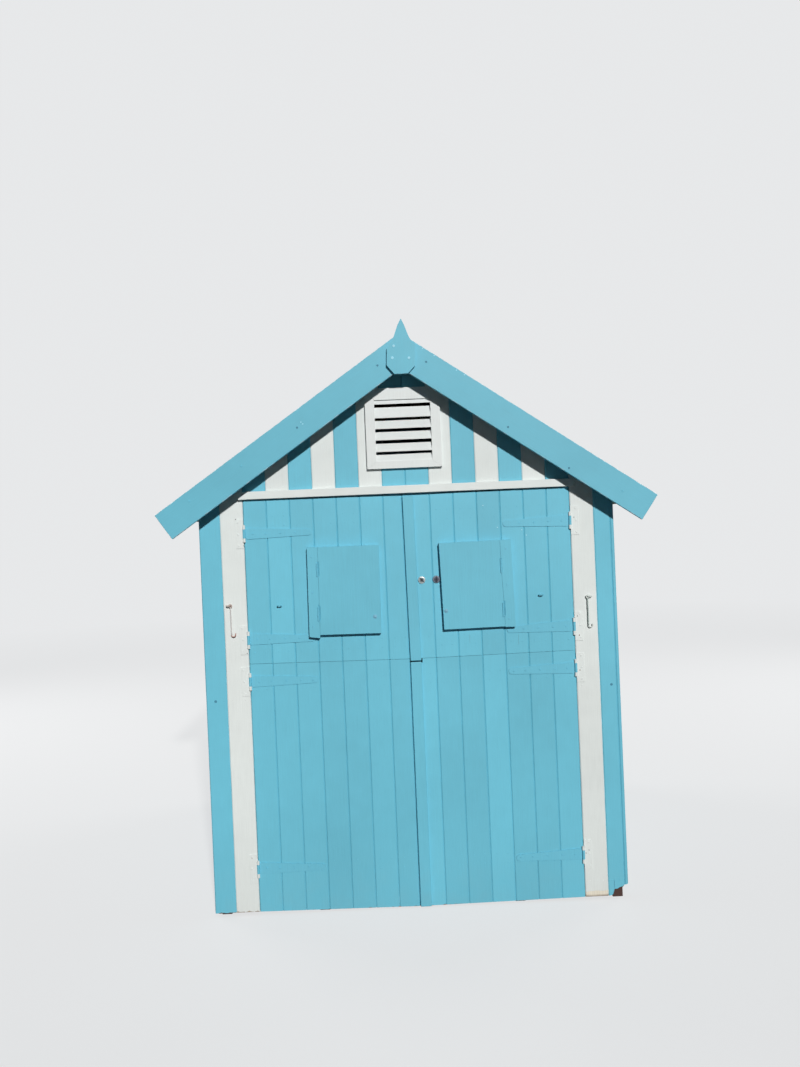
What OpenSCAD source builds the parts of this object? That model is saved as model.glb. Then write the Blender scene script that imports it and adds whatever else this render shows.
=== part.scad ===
// Beach hut with stable doors: a small boarded hut with an apex roof.
// Millimetres, +Z up, ground at Z = 0, the door front faces -Y.

/* [Walls] */
// Width over the side boards
wall_w = 1830; // [1800:5:1900]
// Depth over the front and back boards
wall_d = 2130; // [1900:10:2600]
// Height of the side boards at their outer face
eaves_h = 1875; // [1865:1:1940]
// Width of the boarding beside the doorway on each side
side_w = 171; // [160:1:180]
// Thickness of the matchboards
board_t = 16; // [12:1:20]
// Width of the V joint between two boards
joint_w = 6; // [3:1:8]
// Depth of the V joint between two boards
joint_d = 3; // [2:0.5:5]
// Height of the wall boards' lower ends above the ground
board_lift = 6; // [3:1:12]
// Width of the broken corner at the foot of the right front board
break_w = 56; // [30:1:80]
// Height of the broken corner at the outer edge
break_h = 60; // [30:1:80]
// Height of the broken corner at its inner end
break_low = 38; // [20:1:50]

/* [Frame] */
// Side of the square wall framing
frame_t = 45; // [38:1:50]
// Height of the floor bearers
bearer_h = 45; // [38:1:60]
// Number of floor bearers
bearers = 5; // [4:1:6]
// Thickness of the floor boards
floor_t = 16; // [12:1:20]
// Height of the middle rails above the ground
mid_rail_z = 960; // [800:10:1100]
// Depth of the head beam over the doors
head_h = 70; // [50:1:80]
// Side of the square door stops
stop_t = 20; // [15:1:22]

/* [Roof] */
// Slope of the roof in degrees
roof_pitch = 34.4; // [32:0.1:37]
// How far the roof boards run past the side walls
eave_overhang = 152; // [110:5:200]
// How far the roof boards run past the gable walls
gable_overhang = 95; // [60:5:140]
// Thickness of the roof boards
deck_t = 16; // [12:1:20]
// Thickness of the roofing felt
felt_t = 3; // [2:0.5:4]
// Turned-down edge of the felt at the eaves
felt_drip = 12; // [6:1:20]
// Half width of the felt strip on the ridge
ridge_strip = 110; // [80:5:150]
// Thickness of the ridge board
ridge_t = 22; // [18:1:30]
// Depth of the ridge board
ridge_h = 95; // [80:1:120]
// Width of a purlin
purlin_w = 45; // [38:1:50]
// Depth of a purlin
purlin_h = 70; // [50:1:80]

/* [Barge boards and finial] */
// Depth of a barge board
barge_h = 128; // [100:1:140]
// Thickness of a barge board
barge_t = 20; // [16:1:25]
// How far a barge board stands above the felt
barge_rise = 15; // [4:1:20]
// How far a barge board runs past the roof boards
barge_past = 10; // [5:1:20]
// Open joint where two barge boards meet
barge_joint = 0.6; // [0.3:0.1:0.9]
// Width of the finial
finial_w = 120; // [90:1:140]
// Thickness of the finial
finial_t = 20; // [16:1:25]
// Height of the finial's tip above the barge boards' top corner
finial_rise = 60; // [50:1:100]
// Drop from that corner to the finial's lower end
finial_drop = 180; // [140:1:200]
// Chamfer at the finial's lower corners
finial_cut = 36; // [20:1:40]
// Depth of the finial's flare below its tip
finial_flare = 163; // [130:1:180]
// Half width of the finial's flare halfway up
finial_waist = 36; // [30:1:42]
// Lean of the finial to the right in degrees
finial_lean = 2.7; // [0:0.1:3]
// How far the finial sits to the right of the ridge
finial_shift = 4; // [0:1:8]

/* [Vent and cross trim] */
// Width of the vent frame
vent_w = 332; // [300:1:345]
// Height of the vent frame
vent_h = 356; // [320:1:370]
// Height of the vent frame's lower edge above the head of the doorway
vent_lift = 112; // [100:1:125]
// Width of the vent frame's members
vent_rim = 42; // [36:1:46]
// How far the vent frame stands out
vent_t = 22; // [20:1:26]
// Rise of a slat from its front to its back
slat_h = 28; // [24:1:32]
// Thickness of a slat, measured upright
slat_t = 11; // [8:1:12]
// Open height between two slats
slat_gap = 11; // [10:1:18]
// Height of the top slat's front edge below the top of the vent's opening
slat_first = 21; // [12:1:24]
// Extra rise of the second slat, which the slats below it make room for
slat_extra = 11; // [0:1:14]
// How far the vent's opening sits below the middle of its frame
vent_sink = 10; // [0:1:14]
// How far the slats stay behind the vent frame's face
slat_back = 2; // [1:0.5:5]
// Height of the cross trim over the doors
trim_h = 35; // [30:1:50]
// How far the cross trim stands out
trim_t = 22; // [14:1:26]
// How far the cross trim runs past the doorway on each side
trim_past = 17; // [10:1:25]

/* [Doors] */
// Boards in one door leaf
leaf_boards = 7; // [7:1:7]
// Drop from the eaves to the doors' top edge at the hinges
door_drop = 32; // [24:1:40]
// Height of an upper leaf at the hinges, with half of the gap under it
upper_leaf_h = 725; // [700:1:750]
// Height of the lower doors' bottom edge at the hinges
door_lift = 13; // [12:1:18]
// Clearance round a door leaf
door_gap = 5; // [5:0.5:7]
// Gap between a lower and an upper leaf
split_gap = 6; // [5:0.5:8]
// Gap between the left and the right leaf
leaf_gap = 6; // [5:0.5:8]
// Slope in degrees of the sagging leaves' top and bottom edges
sag = 0.6; // [0:0.1:0.7]
// How far left of centre the lower leaves meet
meet_left = 13; // [5:1:20]
// How much further left the upper leaves meet at their top
meet_lean = 7; // [0:1:10]
// Height of a ledge across the back of a leaf
ledge_h = 85; // [70:1:90]
// Thickness of a ledge
ledge_t = 22; // [18:1:25]
// Distance from a leaf's edges to the ends of its ledges
ledge_inset = 30; // [25:1:50]
// Width of the cover strip on the right leaves
strip_w = 48; // [40:1:60]
// Thickness of the cover strip
strip_t = 12; // [9:1:16]
// How far the upper cover strip runs below its leaf
strip_lap = 11; // [8:1:15]
// Height of a leaf's upper ledge below the leaf's top edge
ledge_drop = 50; // [25:1:80]
// Height of an upper leaf's lower ledge above the leaf's foot
ledge_lift = 25; // [15:1:40]

/* [Shutters] */
// Thickness of a shutter
shutter_t = 34; // [18:1:40]
// Height of a shutter's lower edge above the joint between the leaves
shutter_lift = 115; // [108:1:123]
// Drop from the doors' top edge to a shutter's upper edge
shutter_drop = 220; // [200:1:240]
// Distance from the doorway's side to a shutter's hinge stile
shutter_x = 270; // [262:1:280]
// Distance from the doorway's middle to a shutter's free edge
shutter_in = 140; // [130:1:150]
// Width of a shutter's hinge stile
stile_w = 48; // [40:1:55]
// How far the left stile runs below its panel
left_stile_past = 14; // [0:1:20]
// How far the right stile runs below its panel
right_stile_past = 2; // [0:1:20]
// How far the panel laps over the edge of its opening
shutter_lap = 24; // [15:1:30]
// Open joint between stile and panel
stile_joint = 0.6; // [0.3:0.1:0.9]
// Radius of the knuckles of a shutter's butt hinges
butt_r = 4; // [3:0.5:5]
// Height of a butt hinge
butt_h = 62; // [50:1:70]
// Distance from a shutter's ends to the middle of its butt hinges
butt_in = 97; // [80:1:120]
// How much lower the right shutter's butt hinges sit
butt_shift = 15; // [0:1:20]

/* [Hinges] */
// Length of a strap from its pin
strap_len = 300; // [250:1:320]
// Height of a strap at its pin
strap_h = 40; // [34:1:44]
// Height of a strap at its far end
strap_end = 28; // [20:1:34]
// Thickness of a strap
strap_t = 3.5; // [3:0.5:5]
// Height of the lower leaf's bottom hinge above the leaf's foot
hinge_foot = 191; // [170:1:215]
// Drop from the joint between the leaves to the lower leaf's top hinge
hinge_under = 78; // [70:1:105]
// Height of the upper leaf's bottom hinge above that joint
hinge_over = 107; // [75:1:117]
// Drop from the doors' top edge to the upper leaf's top hinge
hinge_drop = 145; // [125:1:170]
// Height of the fixed plate
plate_h = 130; // [110:1:140]
// Width of the fixed plate
plate_w = 36; // [30:1:40]
// Thickness of the fixed plate
plate_t = 3; // [2:0.5:3.5]
// Radius of the hinge knuckles
knuckle_r = 6; // [5:0.5:8]
// Radius of the hinge pin
pin_r = 3; // [2:0.5:4]
// Radial clearance between the pin and the strap's knuckle
pin_gap = 0.08; // [0.05:0.01:0.1]
// Clearance between neighbouring knuckles
knuckle_gap = 0.3; // [0.2:0.1:0.4]
// Height of each of the plate's knuckles
knuckle_h = 18; // [14:1:25]

/* [Door fittings] */
// Height of the lock cylinders above the joint between the leaves
lock_lift = 342; // [320:1:360]
// Gap from a lock cylinder to the cover strip or the shutter beside it
lock_gap = 3; // [2:0.5:8]
// Radius of the lock cylinders
lock_r = 17; // [14:0.5:18]
// How far the lock cylinders stand out
lock_t = 8; // [6:0.5:12]
// Height of the leaves' screw eyes above the upper leaf's bottom hinge
eye_lift = 147; // [120:1:165]
// Distance from the doorway's side to the screw eyes
eye_x = 146; // [130:1:170]
// Radius of the ring of a screw eye
eye_r = 9; // [7:0.5:11]
// Radius of the wire of the hooks and eyes
wire_r = 2.4; // [2:0.1:3]
// Length of a cabin hook from its ring to its bend
hook_len = 122; // [110:1:150]
// Radius of the bend at a hook's tip
hook_r = 9; // [7:0.5:12]
// Distance from the doorway's left side to the left hook
left_hook_x = 71; // [55:1:80]
// Distance from the doorway's right side to the right hook
right_hook_x = 61; // [55:1:80]
// How much higher than the leaf's screw eye the left hook hangs
left_hook_up = 4; // [0:1:30]
// How much lower than the leaf's screw eye the right hook hangs
right_hook_down = 16; // [0:1:30]
// Radius of a shutter's turn knob
knob_r = 9; // [7:0.5:12]
// Length of the straight end beyond a hook's bend
hook_tip = 7; // [4:1:12]
// Height of the turn knob above the panel's lower edge
knob_z = 79; // [50:1:100]
// Distance from the panel's free edge to the turn knob's centre
knob_in = 15; // [13:1:30]

/* [Hidden] */
$fn = 48;

blue = [0.44, 0.73, 0.83];
white = [0.88, 0.89, 0.88];
timber = [0.72, 0.58, 0.42];
felt_grey = [0.25, 0.26, 0.27];
steel = [0.75, 0.75, 0.76];
rust = [0.45, 0.33, 0.27];

// The fit between plain pieces that share a node or a seat
seat = 0.5;
// Gap under what lies on or against a slope
bed = 0.05;
// Overrun of cutting shapes past what they cut
over = 5;
// Distance from the leaf's face to a hinge knuckle
knuckle_off = 1;
// Radius of the ring at the top of a cabin hook
ring_r = 6;
// Play between a cabin hook's ring and the screw eye that it hangs in
link_gap = 0.5;
// How far the butt hinges' axes lie in front of the shutter's face
butt_off = 1;
// How far a shutter's turn knob stands out
knob_t = 6;

tan_p = tan(roof_pitch);
cos_p = cos(roof_pitch);
sin_p = sin(roof_pitch);
half_w = wall_w / 2;
inner_w = half_w - board_t;
front_y = (finial_t - wall_d) / 2;
back_y = front_y + wall_d;
frame_y0 = front_y + board_t;
frame_y1 = back_y - board_t;
open_x = inner_w - side_w;
board_w = open_x / leaf_boards;
floor_top = bearer_h + floor_t;
door_top = eaves_h - door_drop;
split_z = door_top - upper_leaf_h;
head_z = door_top + split_gap;
lower_top = split_z - split_gap / 2;
upper_foot = split_z + split_gap / 2;
lower_hinges = [door_lift + hinge_foot, split_z - hinge_under];
upper_hinges = [split_z + hinge_over, door_top - hinge_drop];
lower_ledges = [lower_hinges[0] - ledge_h / 2, lower_top - ledge_h - ledge_drop];
upper_ledges = [upper_foot + ledge_lift, door_top - ledge_h - ledge_drop];
ridge_z = eaves_h + half_w * tan_p;
slope_end = (half_w + eave_overhang) / cos_p;
barge_top = deck_t + felt_t + barge_rise;
barge_z = ridge_z + barge_top / cos_p;
rafter_drop = frame_t / cos_p;
post_in = inner_w - frame_t;
back_top = under_roof(post_in) - rafter_drop - bed;
deck_y0 = front_y - gable_overhang;
deck_y1 = back_y + gable_overhang;
pin_x = open_x - door_gap / 2;
pin_y = front_y - knuckle_r - knuckle_off;
shutter_x1 = open_x - shutter_x;
shutter_w = shutter_x1 - stile_w - shutter_in;
shutter_h = upper_leaf_h - shutter_lift - shutter_drop;
shutter_z = split_z + shutter_lift;
hatch_x0 = shutter_in + shutter_lap;
hatch_x1 = shutter_in + shutter_w - shutter_lap;
hatch_z0 = shutter_z + shutter_lap;
hatch_z1 = shutter_z + shutter_h - shutter_lap;
vent_z = head_z + vent_lift;
vent_x = (vent_w - vent_rim) / 2;
slats_x = vent_w / 2 - vent_rim;
slats_z0 = vent_z + vent_rim - vent_sink;
slats_z1 = vent_z + vent_h - vent_rim - vent_sink;
slat_pitch = slat_h + slat_t + slat_gap;
lock_z = split_z + lock_lift;
eye_z = upper_hinges[0] + eye_lift;

// Height of the underside of the roof boards at x
function under_roof(x) = ridge_z - abs(x) * tan_p;

// Point s down the right slope from the ridge and n above the boards' underside
function on_slope(s, n) = [s * cos_p + n * sin_p, ridge_z - s * sin_p + n * cos_p];

// Point on a line parallel to the right slope, n above the underside, at x
function slope_at(x, n) = [x, ridge_z + n / cos_p - x * tan_p];

// Drop of a sagging leaf at x, measured from its hinge side
function drop(x) = (open_x - abs(x)) * tan(sag);

// Middle of the gap between the left and right leaves at height z
function meet_x(z) = -meet_left - (z > split_z ? meet_lean * (z - split_z) / (door_top - split_z) : 0);

// Free edge of a leaf at height z: side is -1 for left and 1 for right
function edge_x(side, z) = meet_x(z) + side * leaf_gap / 2;

// Outline of boards side by side from a to b, seen from above, face on y = 0
function board_row(a, b) = concat(
    [[a, board_t], [a, joint_d], [a + joint_w / 2, 0]],
    [for (k = [ceil((a + joint_w) / board_w) : 1 : floor((b - joint_w) / board_w)])
        each [[k * board_w - joint_w / 2, 0], [k * board_w, joint_d], [k * board_w + joint_w / 2, 0]]],
    [[b - joint_w / 2, 0], [b, joint_d], [b, board_t]]
);

// Extrudes an outline drawn in x and z from y0 inwards by t
module elevation(y0, t) {
    translate([0, y0 + t, 0])
        rotate([90, 0, 0])
            linear_extrude(height = t)
                children();
}

module mirrored() {
    children();
    mirror([1, 0, 0])
        children();
}

module boards(a, b, z0, z1) {
    translate([0, 0, z0])
        linear_extrude(height = z1 - z0)
            polygon(board_row(a, b));
}

// Everything that stays gap below the underside of the roof boards
module under_roof_clip(y0, t, gap = bed) {
    x = half_w + over;
    z = under_roof(x) - gap;
    elevation(y0, t)
        polygon([[-x, -over], [x, -over], [x, z], [0, ridge_z - gap], [-x, z]]);
}

module box(x0, x1, y0, y1, z0, z1) {
    translate([x0, y0, z0])
        cube([x1 - x0, y1 - y0, z1 - z0]);
}

module front_board(a, b, z0, z1 = ridge_z) {
    intersection() {
        translate([0, front_y, 0])
            boards(a, b, z0, z1);
        under_roof_clip(front_y - over, board_t + 2 * over);
    }
}

// Floor

module floor_bearers() {
    step = (2 * inner_w - frame_t) / (bearers - 1);
    color(timber)
        for (i = [0 : bearers - 1])
            box(i * step - inner_w, i * step - inner_w + frame_t, frame_y0 + door_gap, frame_y1, 0, bearer_h);
}

module floor_boards() {
    color(timber)
        box(-inner_w, inner_w, frame_y0 + door_gap, frame_y1, bearer_h, floor_top);
}

// Framing

module posts() {
    color(timber)
        mirrored() {
            for (y = [frame_y0, frame_y1 - frame_t])
                intersection() {
                    box(post_in, inner_w, y, y + frame_t, floor_top, ridge_z);
                    under_roof_clip(y - over, frame_t + 2 * over);
                }
            intersection() {
                box(open_x, open_x + frame_t, frame_y0, frame_y0 + frame_t, floor_top, ridge_z);
                under_roof_clip(frame_y0 - over, frame_t + 2 * over, rafter_drop + bed);
            }
        }
}

module door_stops() {
    y = frame_y0 + door_gap;
    color(blue) {
        mirrored()
            box(open_x - stop_t, open_x, y, y + stop_t, floor_top, head_z);
        box(stop_t + seat - open_x, open_x - stop_t - seat, y, y + stop_t, head_z - stop_t, head_z);
    }
}

module door_head() {
    color(timber)
        box(-open_x, open_x, frame_y0, frame_y0 + frame_t, head_z, head_z + head_h);
}

module side_rails() {
    y0 = frame_y0 + frame_t;
    y1 = frame_y1 - frame_t;
    color(timber)
        mirrored() {
            for (z = [floor_top, mid_rail_z])
                box(post_in, inner_w, y0, y1, z, z + frame_t);
            intersection() {
                box(post_in, inner_w, y0, y1, eaves_h - frame_t, ridge_z);
                under_roof_clip(y0 - over, y1 - y0 + 2 * over);
            }
        }
}

module back_rails() {
    color(timber)
        for (z = [floor_top, mid_rail_z, back_top - frame_t])
            box(-post_in, post_in, frame_y1 - frame_t, frame_y1, z, z + frame_t);
}

// Studs from the lower rail to the middle one and on to z1, between x0, x1, y0 and y1
module stud(x0, x1, y0, y1, z1) {
    box(x0, x1, y0, y1, floor_top + frame_t, mid_rail_z);
    box(x0, x1, y0, y1, mid_rail_z + frame_t, z1);
}

// Stud of a gable from z0 up to the end rafter, from x to the right
module gable_stud(x, y, z0) {
    intersection() {
        box(x, x + frame_t, y, y + frame_t, z0, ridge_z);
        under_roof_clip(y - over, frame_t + 2 * over, rafter_drop + bed);
    }
}

module wall_studs() {
    y0 = frame_y0 + frame_t;
    y1 = frame_y1 - frame_t;
    bay = (y1 - y0) / 3;
    back_x = post_in / 3 - frame_t / 2;
    color(timber)
        mirrored() {
            for (y = [y0 + bay - frame_t / 2, y0 + 2 * bay - frame_t / 2])
                stud(post_in, inner_w, y, y + frame_t, eaves_h - frame_t);
            stud(back_x, back_x + frame_t, y1, frame_y1, back_top - frame_t);
            gable_stud(back_x, y1, back_top);
            gable_stud(vent_x, frame_y0, head_z + head_h);
        }
}

module end_rafters() {
    x0 = ridge_t / 2;
    color(timber)
        mirrored()
            for (y = [frame_y0, frame_y1 - frame_t])
                elevation(y, frame_t)
                    polygon([
                        slope_at(x0, -bed), slope_at(post_in, -bed),
                        slope_at(post_in, -frame_t), slope_at(x0, -frame_t)
                    ]);
}

module roof_timbers() {
    s = (slope_end - purlin_w) / 2 - eave_overhang / 2;
    y0 = frame_y0 + frame_t;
    color(timber) {
        intersection() {
            box(-ridge_t / 2, ridge_t / 2, frame_y0, frame_y1, ridge_z - ridge_h, ridge_z);
            under_roof_clip(frame_y0 - over, frame_y1 - frame_y0 + 2 * over);
        }
        mirrored()
            elevation(y0, frame_y1 - frame_t - y0)
                polygon([
                    on_slope(s, -bed), on_slope(s + purlin_w, -bed),
                    on_slope(s + purlin_w, -purlin_h), on_slope(s, -purlin_h)
                ]);
    }
}

// Walls

module side_wall(break_foot = false) {
    difference() {
        intersection() {
            translate([-half_w, front_y, 0])
                mirror([1, -1, 0])
                    boards(0, wall_d, board_lift, ridge_z);
            under_roof_clip(front_y - over, wall_d + 2 * over);
        }
        if (break_foot)
            mirror([1, 0, 0])
                broken_foot();
    }
}

// What is broken away at the foot of the right front corner
module broken_foot() {
    x0 = half_w - break_w;
    elevation(front_y - over, board_t + 2 * over)
        polygon([[x0, -over], [half_w + over, -over], [half_w + over, break_h], [x0, break_low]]);
}

module side_wall_left() {
    color(blue)
        side_wall();
}

module side_wall_right() {
    color(blue)
        mirror([1, 0, 0])
            side_wall(break_foot = true);
}

module back_wall() {
    color(blue)
        intersection() {
            translate([0, back_y, 0])
                mirror([0, 1, 0])
                    boards(-inner_w, inner_w, board_lift, ridge_z);
            under_roof_clip(back_y - board_t - over, board_t + 2 * over);
        }
}

// The opening in the gable's boards behind the vent, whose frame laps over its edges
module vent_opening() {
    z = vent_z + vent_rim / 2;
    box(-vent_x, vent_x, front_y - over, frame_y0 + over, z, z + vent_h - vent_rim);
}

module front_boards_blue() {
    last = leaf_boards + 1;
    color(blue) {
        mirrored()
            for (i = [3 : 2 : leaf_boards])
                front_board((i - 1) * board_w, i * board_w, head_z);
        difference() {
            front_board(-board_w, board_w, head_z);
            vent_opening();
        }
        front_board(-inner_w, -last * board_w, board_lift);
        difference() {
            front_board(last * board_w, inner_w, board_lift);
            broken_foot();
        }
    }
}

module front_boards_white() {
    color(white)
        mirrored() {
            for (i = [2 : 2 : leaf_boards - 1])
                difference() {
                    front_board((i - 1) * board_w, i * board_w, head_z);
                    vent_opening();
                }
            front_board(open_x, open_x + board_w, board_lift);
        }
}

module cross_trim() {
    x = open_x + trim_past;
    color(white)
        box(-x, x, front_y - trim_t, front_y, head_z, head_z + trim_h);
}

module vent_frame() {
    color(white)
        elevation(front_y - vent_t, vent_t)
            difference() {
                translate([-vent_w / 2, vent_z])
                    square([vent_w, vent_h]);
                translate([-slats_x, slats_z0])
                    square([2 * slats_x, slats_z1 - slats_z0]);
            }
}

// One slat with its front edge's underside at z, cut off where it meets the frame
module vent_slat(z, rise) {
    d = vent_t - slat_back;
    intersection() {
        box(-slats_x, slats_x, front_y - vent_t, front_y, slats_z0, slats_z1);
        translate([-slats_x, front_y, z])
            rotate([90, 0, 90])
                linear_extrude(height = 2 * slats_x)
                    polygon([[-d, 0], [0, rise], [0, rise + slat_t], [-d, slat_t]]);
    }
}

module vent_slats() {
    first = slats_z1 - slat_first;
    second = first - slat_pitch - slat_extra;
    color(white) {
        vent_slat(first, slat_h);
        vent_slat(second, slat_h + slat_extra);
        for (z = [second - slat_pitch : -slat_pitch : slats_z0 - slat_h])
            vent_slat(z, slat_h);
    }
}

// Roof

module roof_deck() {
    elevation(deck_y0, deck_y1 - deck_y0)
        polygon([[0, ridge_z], slope_at(0, deck_t), on_slope(slope_end, deck_t), on_slope(slope_end, 0)]);
}

module roof_deck_left() {
    color(timber)
        mirror([1, 0, 0])
            roof_deck();
}

module roof_deck_right() {
    color(timber)
        roof_deck();
}

function felt_half() = let (end = slope_end + bed, low = deck_t - felt_drip - felt_t) [
    on_slope(ridge_strip, deck_t + 2 * felt_t),
    on_slope(ridge_strip, deck_t + felt_t),
    on_slope(end + felt_t, deck_t + felt_t),
    on_slope(end + felt_t, low),
    on_slope(end, low),
    on_slope(end, deck_t + bed)
];

module roof_felt() {
    half = felt_half();
    n = len(half);
    color(felt_grey)
        elevation(deck_y0, deck_y1 - deck_y0)
            polygon(concat(
                [slope_at(0, deck_t + 2 * felt_t)], half, [slope_at(0, deck_t + bed)],
                [for (i = [n - 1 : -1 : 0]) [-half[i][0], half[i][1]]]
            ));
}

module barge_boards(y0) {
    g = barge_joint / 2;
    s = slope_end + barge_past;
    color(blue)
        elevation(y0, barge_t)
            mirrored()
                polygon([
                    slope_at(g, barge_top), on_slope(s, barge_top),
                    on_slope(s, barge_top - barge_h), slope_at(g, barge_top - barge_h)
                ]);
}

module barge_boards_front() {
    barge_boards(deck_y0 - barge_t);
}

module barge_boards_back() {
    barge_boards(deck_y1);
}

// Points of a curve from a to c that bends towards b
function bend(a, b, c, n) = [
    for (i = [0 : n]) let (t = i / n, u = 1 - t)
        u * u * a + 2 * t * u * b + t * t * c
];

module finial() {
    w = finial_w / 2;
    tip = [0, barge_z + finial_rise];
    shoulder = [w, tip[1] - finial_flare];
    flare = bend(tip, [2 * finial_waist - w / 2, (shoulder[1] + tip[1]) / 2], shoulder, 8);
    foot = barge_z - finial_drop;
    right = concat(flare, [[w, foot + finial_cut], [w - finial_cut, foot]]);
    n = len(right);
    pivot = [0, 0, (foot + tip[1]) / 2];
    color(blue)
        translate(pivot + [finial_shift, 0, 0])
            rotate([0, finial_lean, 0])
                translate(-pivot)
                    elevation(deck_y0 - barge_t - finial_t, finial_t)
                        polygon(concat(right, [for (i = [n - 1 : -1 : 1]) [-right[i][0], right[i][1]]]));
}

// Hinges

// Fixed plate with two knuckles and the pin, cut away where the strap's knuckle turns
module hinge_plate(z) {
    k0 = strap_h / 2 + knuckle_gap;
    x0 = open_x - pin_x + seat;
    translate([pin_x, front_y, z]) {
        difference() {
            translate([x0, -plate_t, -plate_h / 2])
                cube([plate_w, plate_t, plate_h]);
            translate([x0 - over, -plate_t - over, -k0])
                cube([knuckle_r + seat - x0 + over, plate_t + 2 * over, 2 * k0]);
        }
        for (s = [-1, 1]) {
            translate([0, pin_y - front_y, s > 0 ? k0 : -k0 - knuckle_h])
                cylinder(r = knuckle_r, h = knuckle_h);
            translate([0, -plate_t, s > 0 ? k0 : -k0 - knuckle_h])
                cube([x0 + plate_w / 2, plate_t, knuckle_h]);
        }
        translate([0, pin_y - front_y, -k0 - knuckle_h])
            cylinder(r = pin_r, h = 2 * (k0 + knuckle_h));
    }
}

module hinge_plates() {
    color(white)
        mirrored()
            for (z = concat(lower_hinges, upper_hinges))
                hinge_plate(z);
}

// One strap with its knuckle: side is -1 for left and 1 for right
module strap(side, z) {
    r = strap_end / 2;
    tip = side * (r - strap_len);
    root = strap_h / 2;
    translate([side * pin_x, pin_y, z])
        difference() {
            union() {
                translate([0, 0, -strap_h / 2])
                    cylinder(r = knuckle_r, h = strap_h);
                translate([0, front_y - pin_y, 0])
                    rotate([90, -side * sag, 0])
                        linear_extrude(height = strap_t) {
                            polygon([[0, -root], [0, root], [tip, r], [tip, -r]]);
                            translate([tip, 0])
                                circle(r = r);
                        }
            }
            translate([0, 0, -strap_h / 2 - over])
                cylinder(r = pin_r + pin_gap, h = strap_h + 2 * over);
        }
}

module straps(side, zs) {
    color(blue)
        for (z = zs)
            strap(side, z);
}

// Door leaves

// Outline of a leaf from z0 to z1: side is -1 for left and 1 for right
module leaf_outline(side, z0, z1) {
    outer = side * (open_x - door_gap);
    low = edge_x(side, z0);
    high = edge_x(side, z1);
    polygon([
        [outer, z0 - drop(outer)], [low, z0 - drop(low)],
        [high, z1 - drop(high)], [outer, z1 - drop(outer)]
    ]);
}

module leaf(side, z0, z1) {
    outer = open_x - door_gap;
    a = side < 0 ? -outer : -open_x;
    b = side < 0 ? open_x : outer;
    intersection() {
        translate([0, front_y, 0])
            boards(a, b, 0, head_z);
        elevation(front_y - over, board_t + 2 * over)
            leaf_outline(side, z0, z1);
    }
}

// The right lower leaf is notched behind the foot of the upper cover strip
module lower_leaf(side) {
    notch_x = edge_x(1, lower_top) + strip_w + door_gap;
    notch_z = lower_top - drop(0) - strip_lap - door_gap;
    color(blue)
        difference() {
            leaf(side, door_lift, lower_top);
            if (side > 0)
                box(-open_x, notch_x, front_y - over, frame_y0 + over, notch_z, head_z);
        }
}

module upper_leaf(side) {
    color(blue)
        difference() {
            leaf(side, upper_foot, door_top);
            mirror([side > 0 ? 0 : 1, 0, 0])
                box(hatch_x0, hatch_x1, front_y - over, frame_y0 + over, hatch_z0, hatch_z1);
        }
}

// Ledges across the back of a leaf, each from its own height z
module ledges(side, zs) {
    outer = open_x - door_gap - ledge_inset;
    color(timber)
        for (z = zs) {
            inner = side * edge_x(side, z) + ledge_inset;
            mirror([side > 0 ? 0 : 1, 0, 0])
                box(inner, outer, frame_y0, frame_y0 + ledge_t, z, z + ledge_h);
        }
}

// Cover strip along the free edge of a right leaf from z0 to z1
module cover_strip(z0, z1) {
    low = edge_x(1, z0);
    high = edge_x(1, z1);
    color(blue)
        elevation(front_y - strip_t, strip_t)
            polygon([
                [low, z0 - drop(low)], [low + strip_w, z0 - drop(low + strip_w)],
                [high + strip_w, z1 - drop(high + strip_w)], [high, z1 - drop(high)]
            ]);
}

// Places what belongs to the right-hand shutter, from the lower outer corner of its stile's back
module on_shutter() {
    translate([shutter_x1, front_y, shutter_z])
        rotate([0, -sag, 0])
            children();
}

// Knuckles of the butt hinges between stile and panel, shift lower than the middle
module butt_hinges(shift, r = butt_r, past = 0) {
    for (z = [butt_in, shutter_h - butt_in])
        translate([-stile_w, -shutter_t - butt_off, z - shift - butt_h / 2 - past])
            cylinder(r = r, h = butt_h + 2 * past);
}

// Shutter on the right-hand leaf, its stile housed over the end of the strap
module shutter_panel(past, shift) {
    x0 = min(shutter_x1 - stile_w + stile_joint / 2, pin_x - strap_len - seat);
    z1 = upper_hinges[0] + strap_h / 2 + seat;
    color(blue)
        difference() {
            on_shutter()
                difference() {
                    union() {
                        translate([-stile_w - shutter_w, -shutter_t, 0])
                            cube([shutter_w, shutter_t, shutter_h]);
                        translate([stile_joint - stile_w, -shutter_t, -past])
                            cube([stile_w - stile_joint, shutter_t, shutter_h + past]);
                    }
                    butt_hinges(shift, butt_r + seat, seat);
                }
            box(x0, shutter_x1 + over, front_y - strap_t - seat, front_y + over, split_z, z1);
        }
}

// Ring of round wire of radius r, lying flat
module wire_ring(r) {
    rotate_extrude()
        translate([r, 0])
            circle(r = wire_r, $fn = 16);
}

// Screw eye in the front at x and z, its ring lying flat
module screw_eye(x, z) {
    translate([x, front_y, z]) {
        translate([0, -eye_r - wire_r, 0])
            wire_ring(eye_r);
        rotate([90, 0, 0])
            cylinder(r = wire_r, h = 2 * wire_r);
    }
}

// Screw eye, butt hinges and turn knob on the right-hand leaf
module leaf_fittings(shift) {
    color(blue) {
        screw_eye(open_x - eye_x, eye_z);
        on_shutter()
            butt_hinges(shift);
    }
    color(rust)
        on_shutter()
            translate([knob_in - stile_w - shutter_w, -shutter_t, knob_z])
                rotate([90, 0, 0])
                    cylinder(r = knob_r, h = knob_t);
}

module lock_cylinders() {
    first = edge_x(1, lock_z) + strip_w + lock_gap + lock_r;
    second = shutter_in - lock_gap - lock_r;
    color(steel)
        for (x = [first, second])
            translate([x, front_y, lock_z])
                rotate([90, 0, 0])
                    cylinder(r = lock_r, h = lock_t);
}

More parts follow.
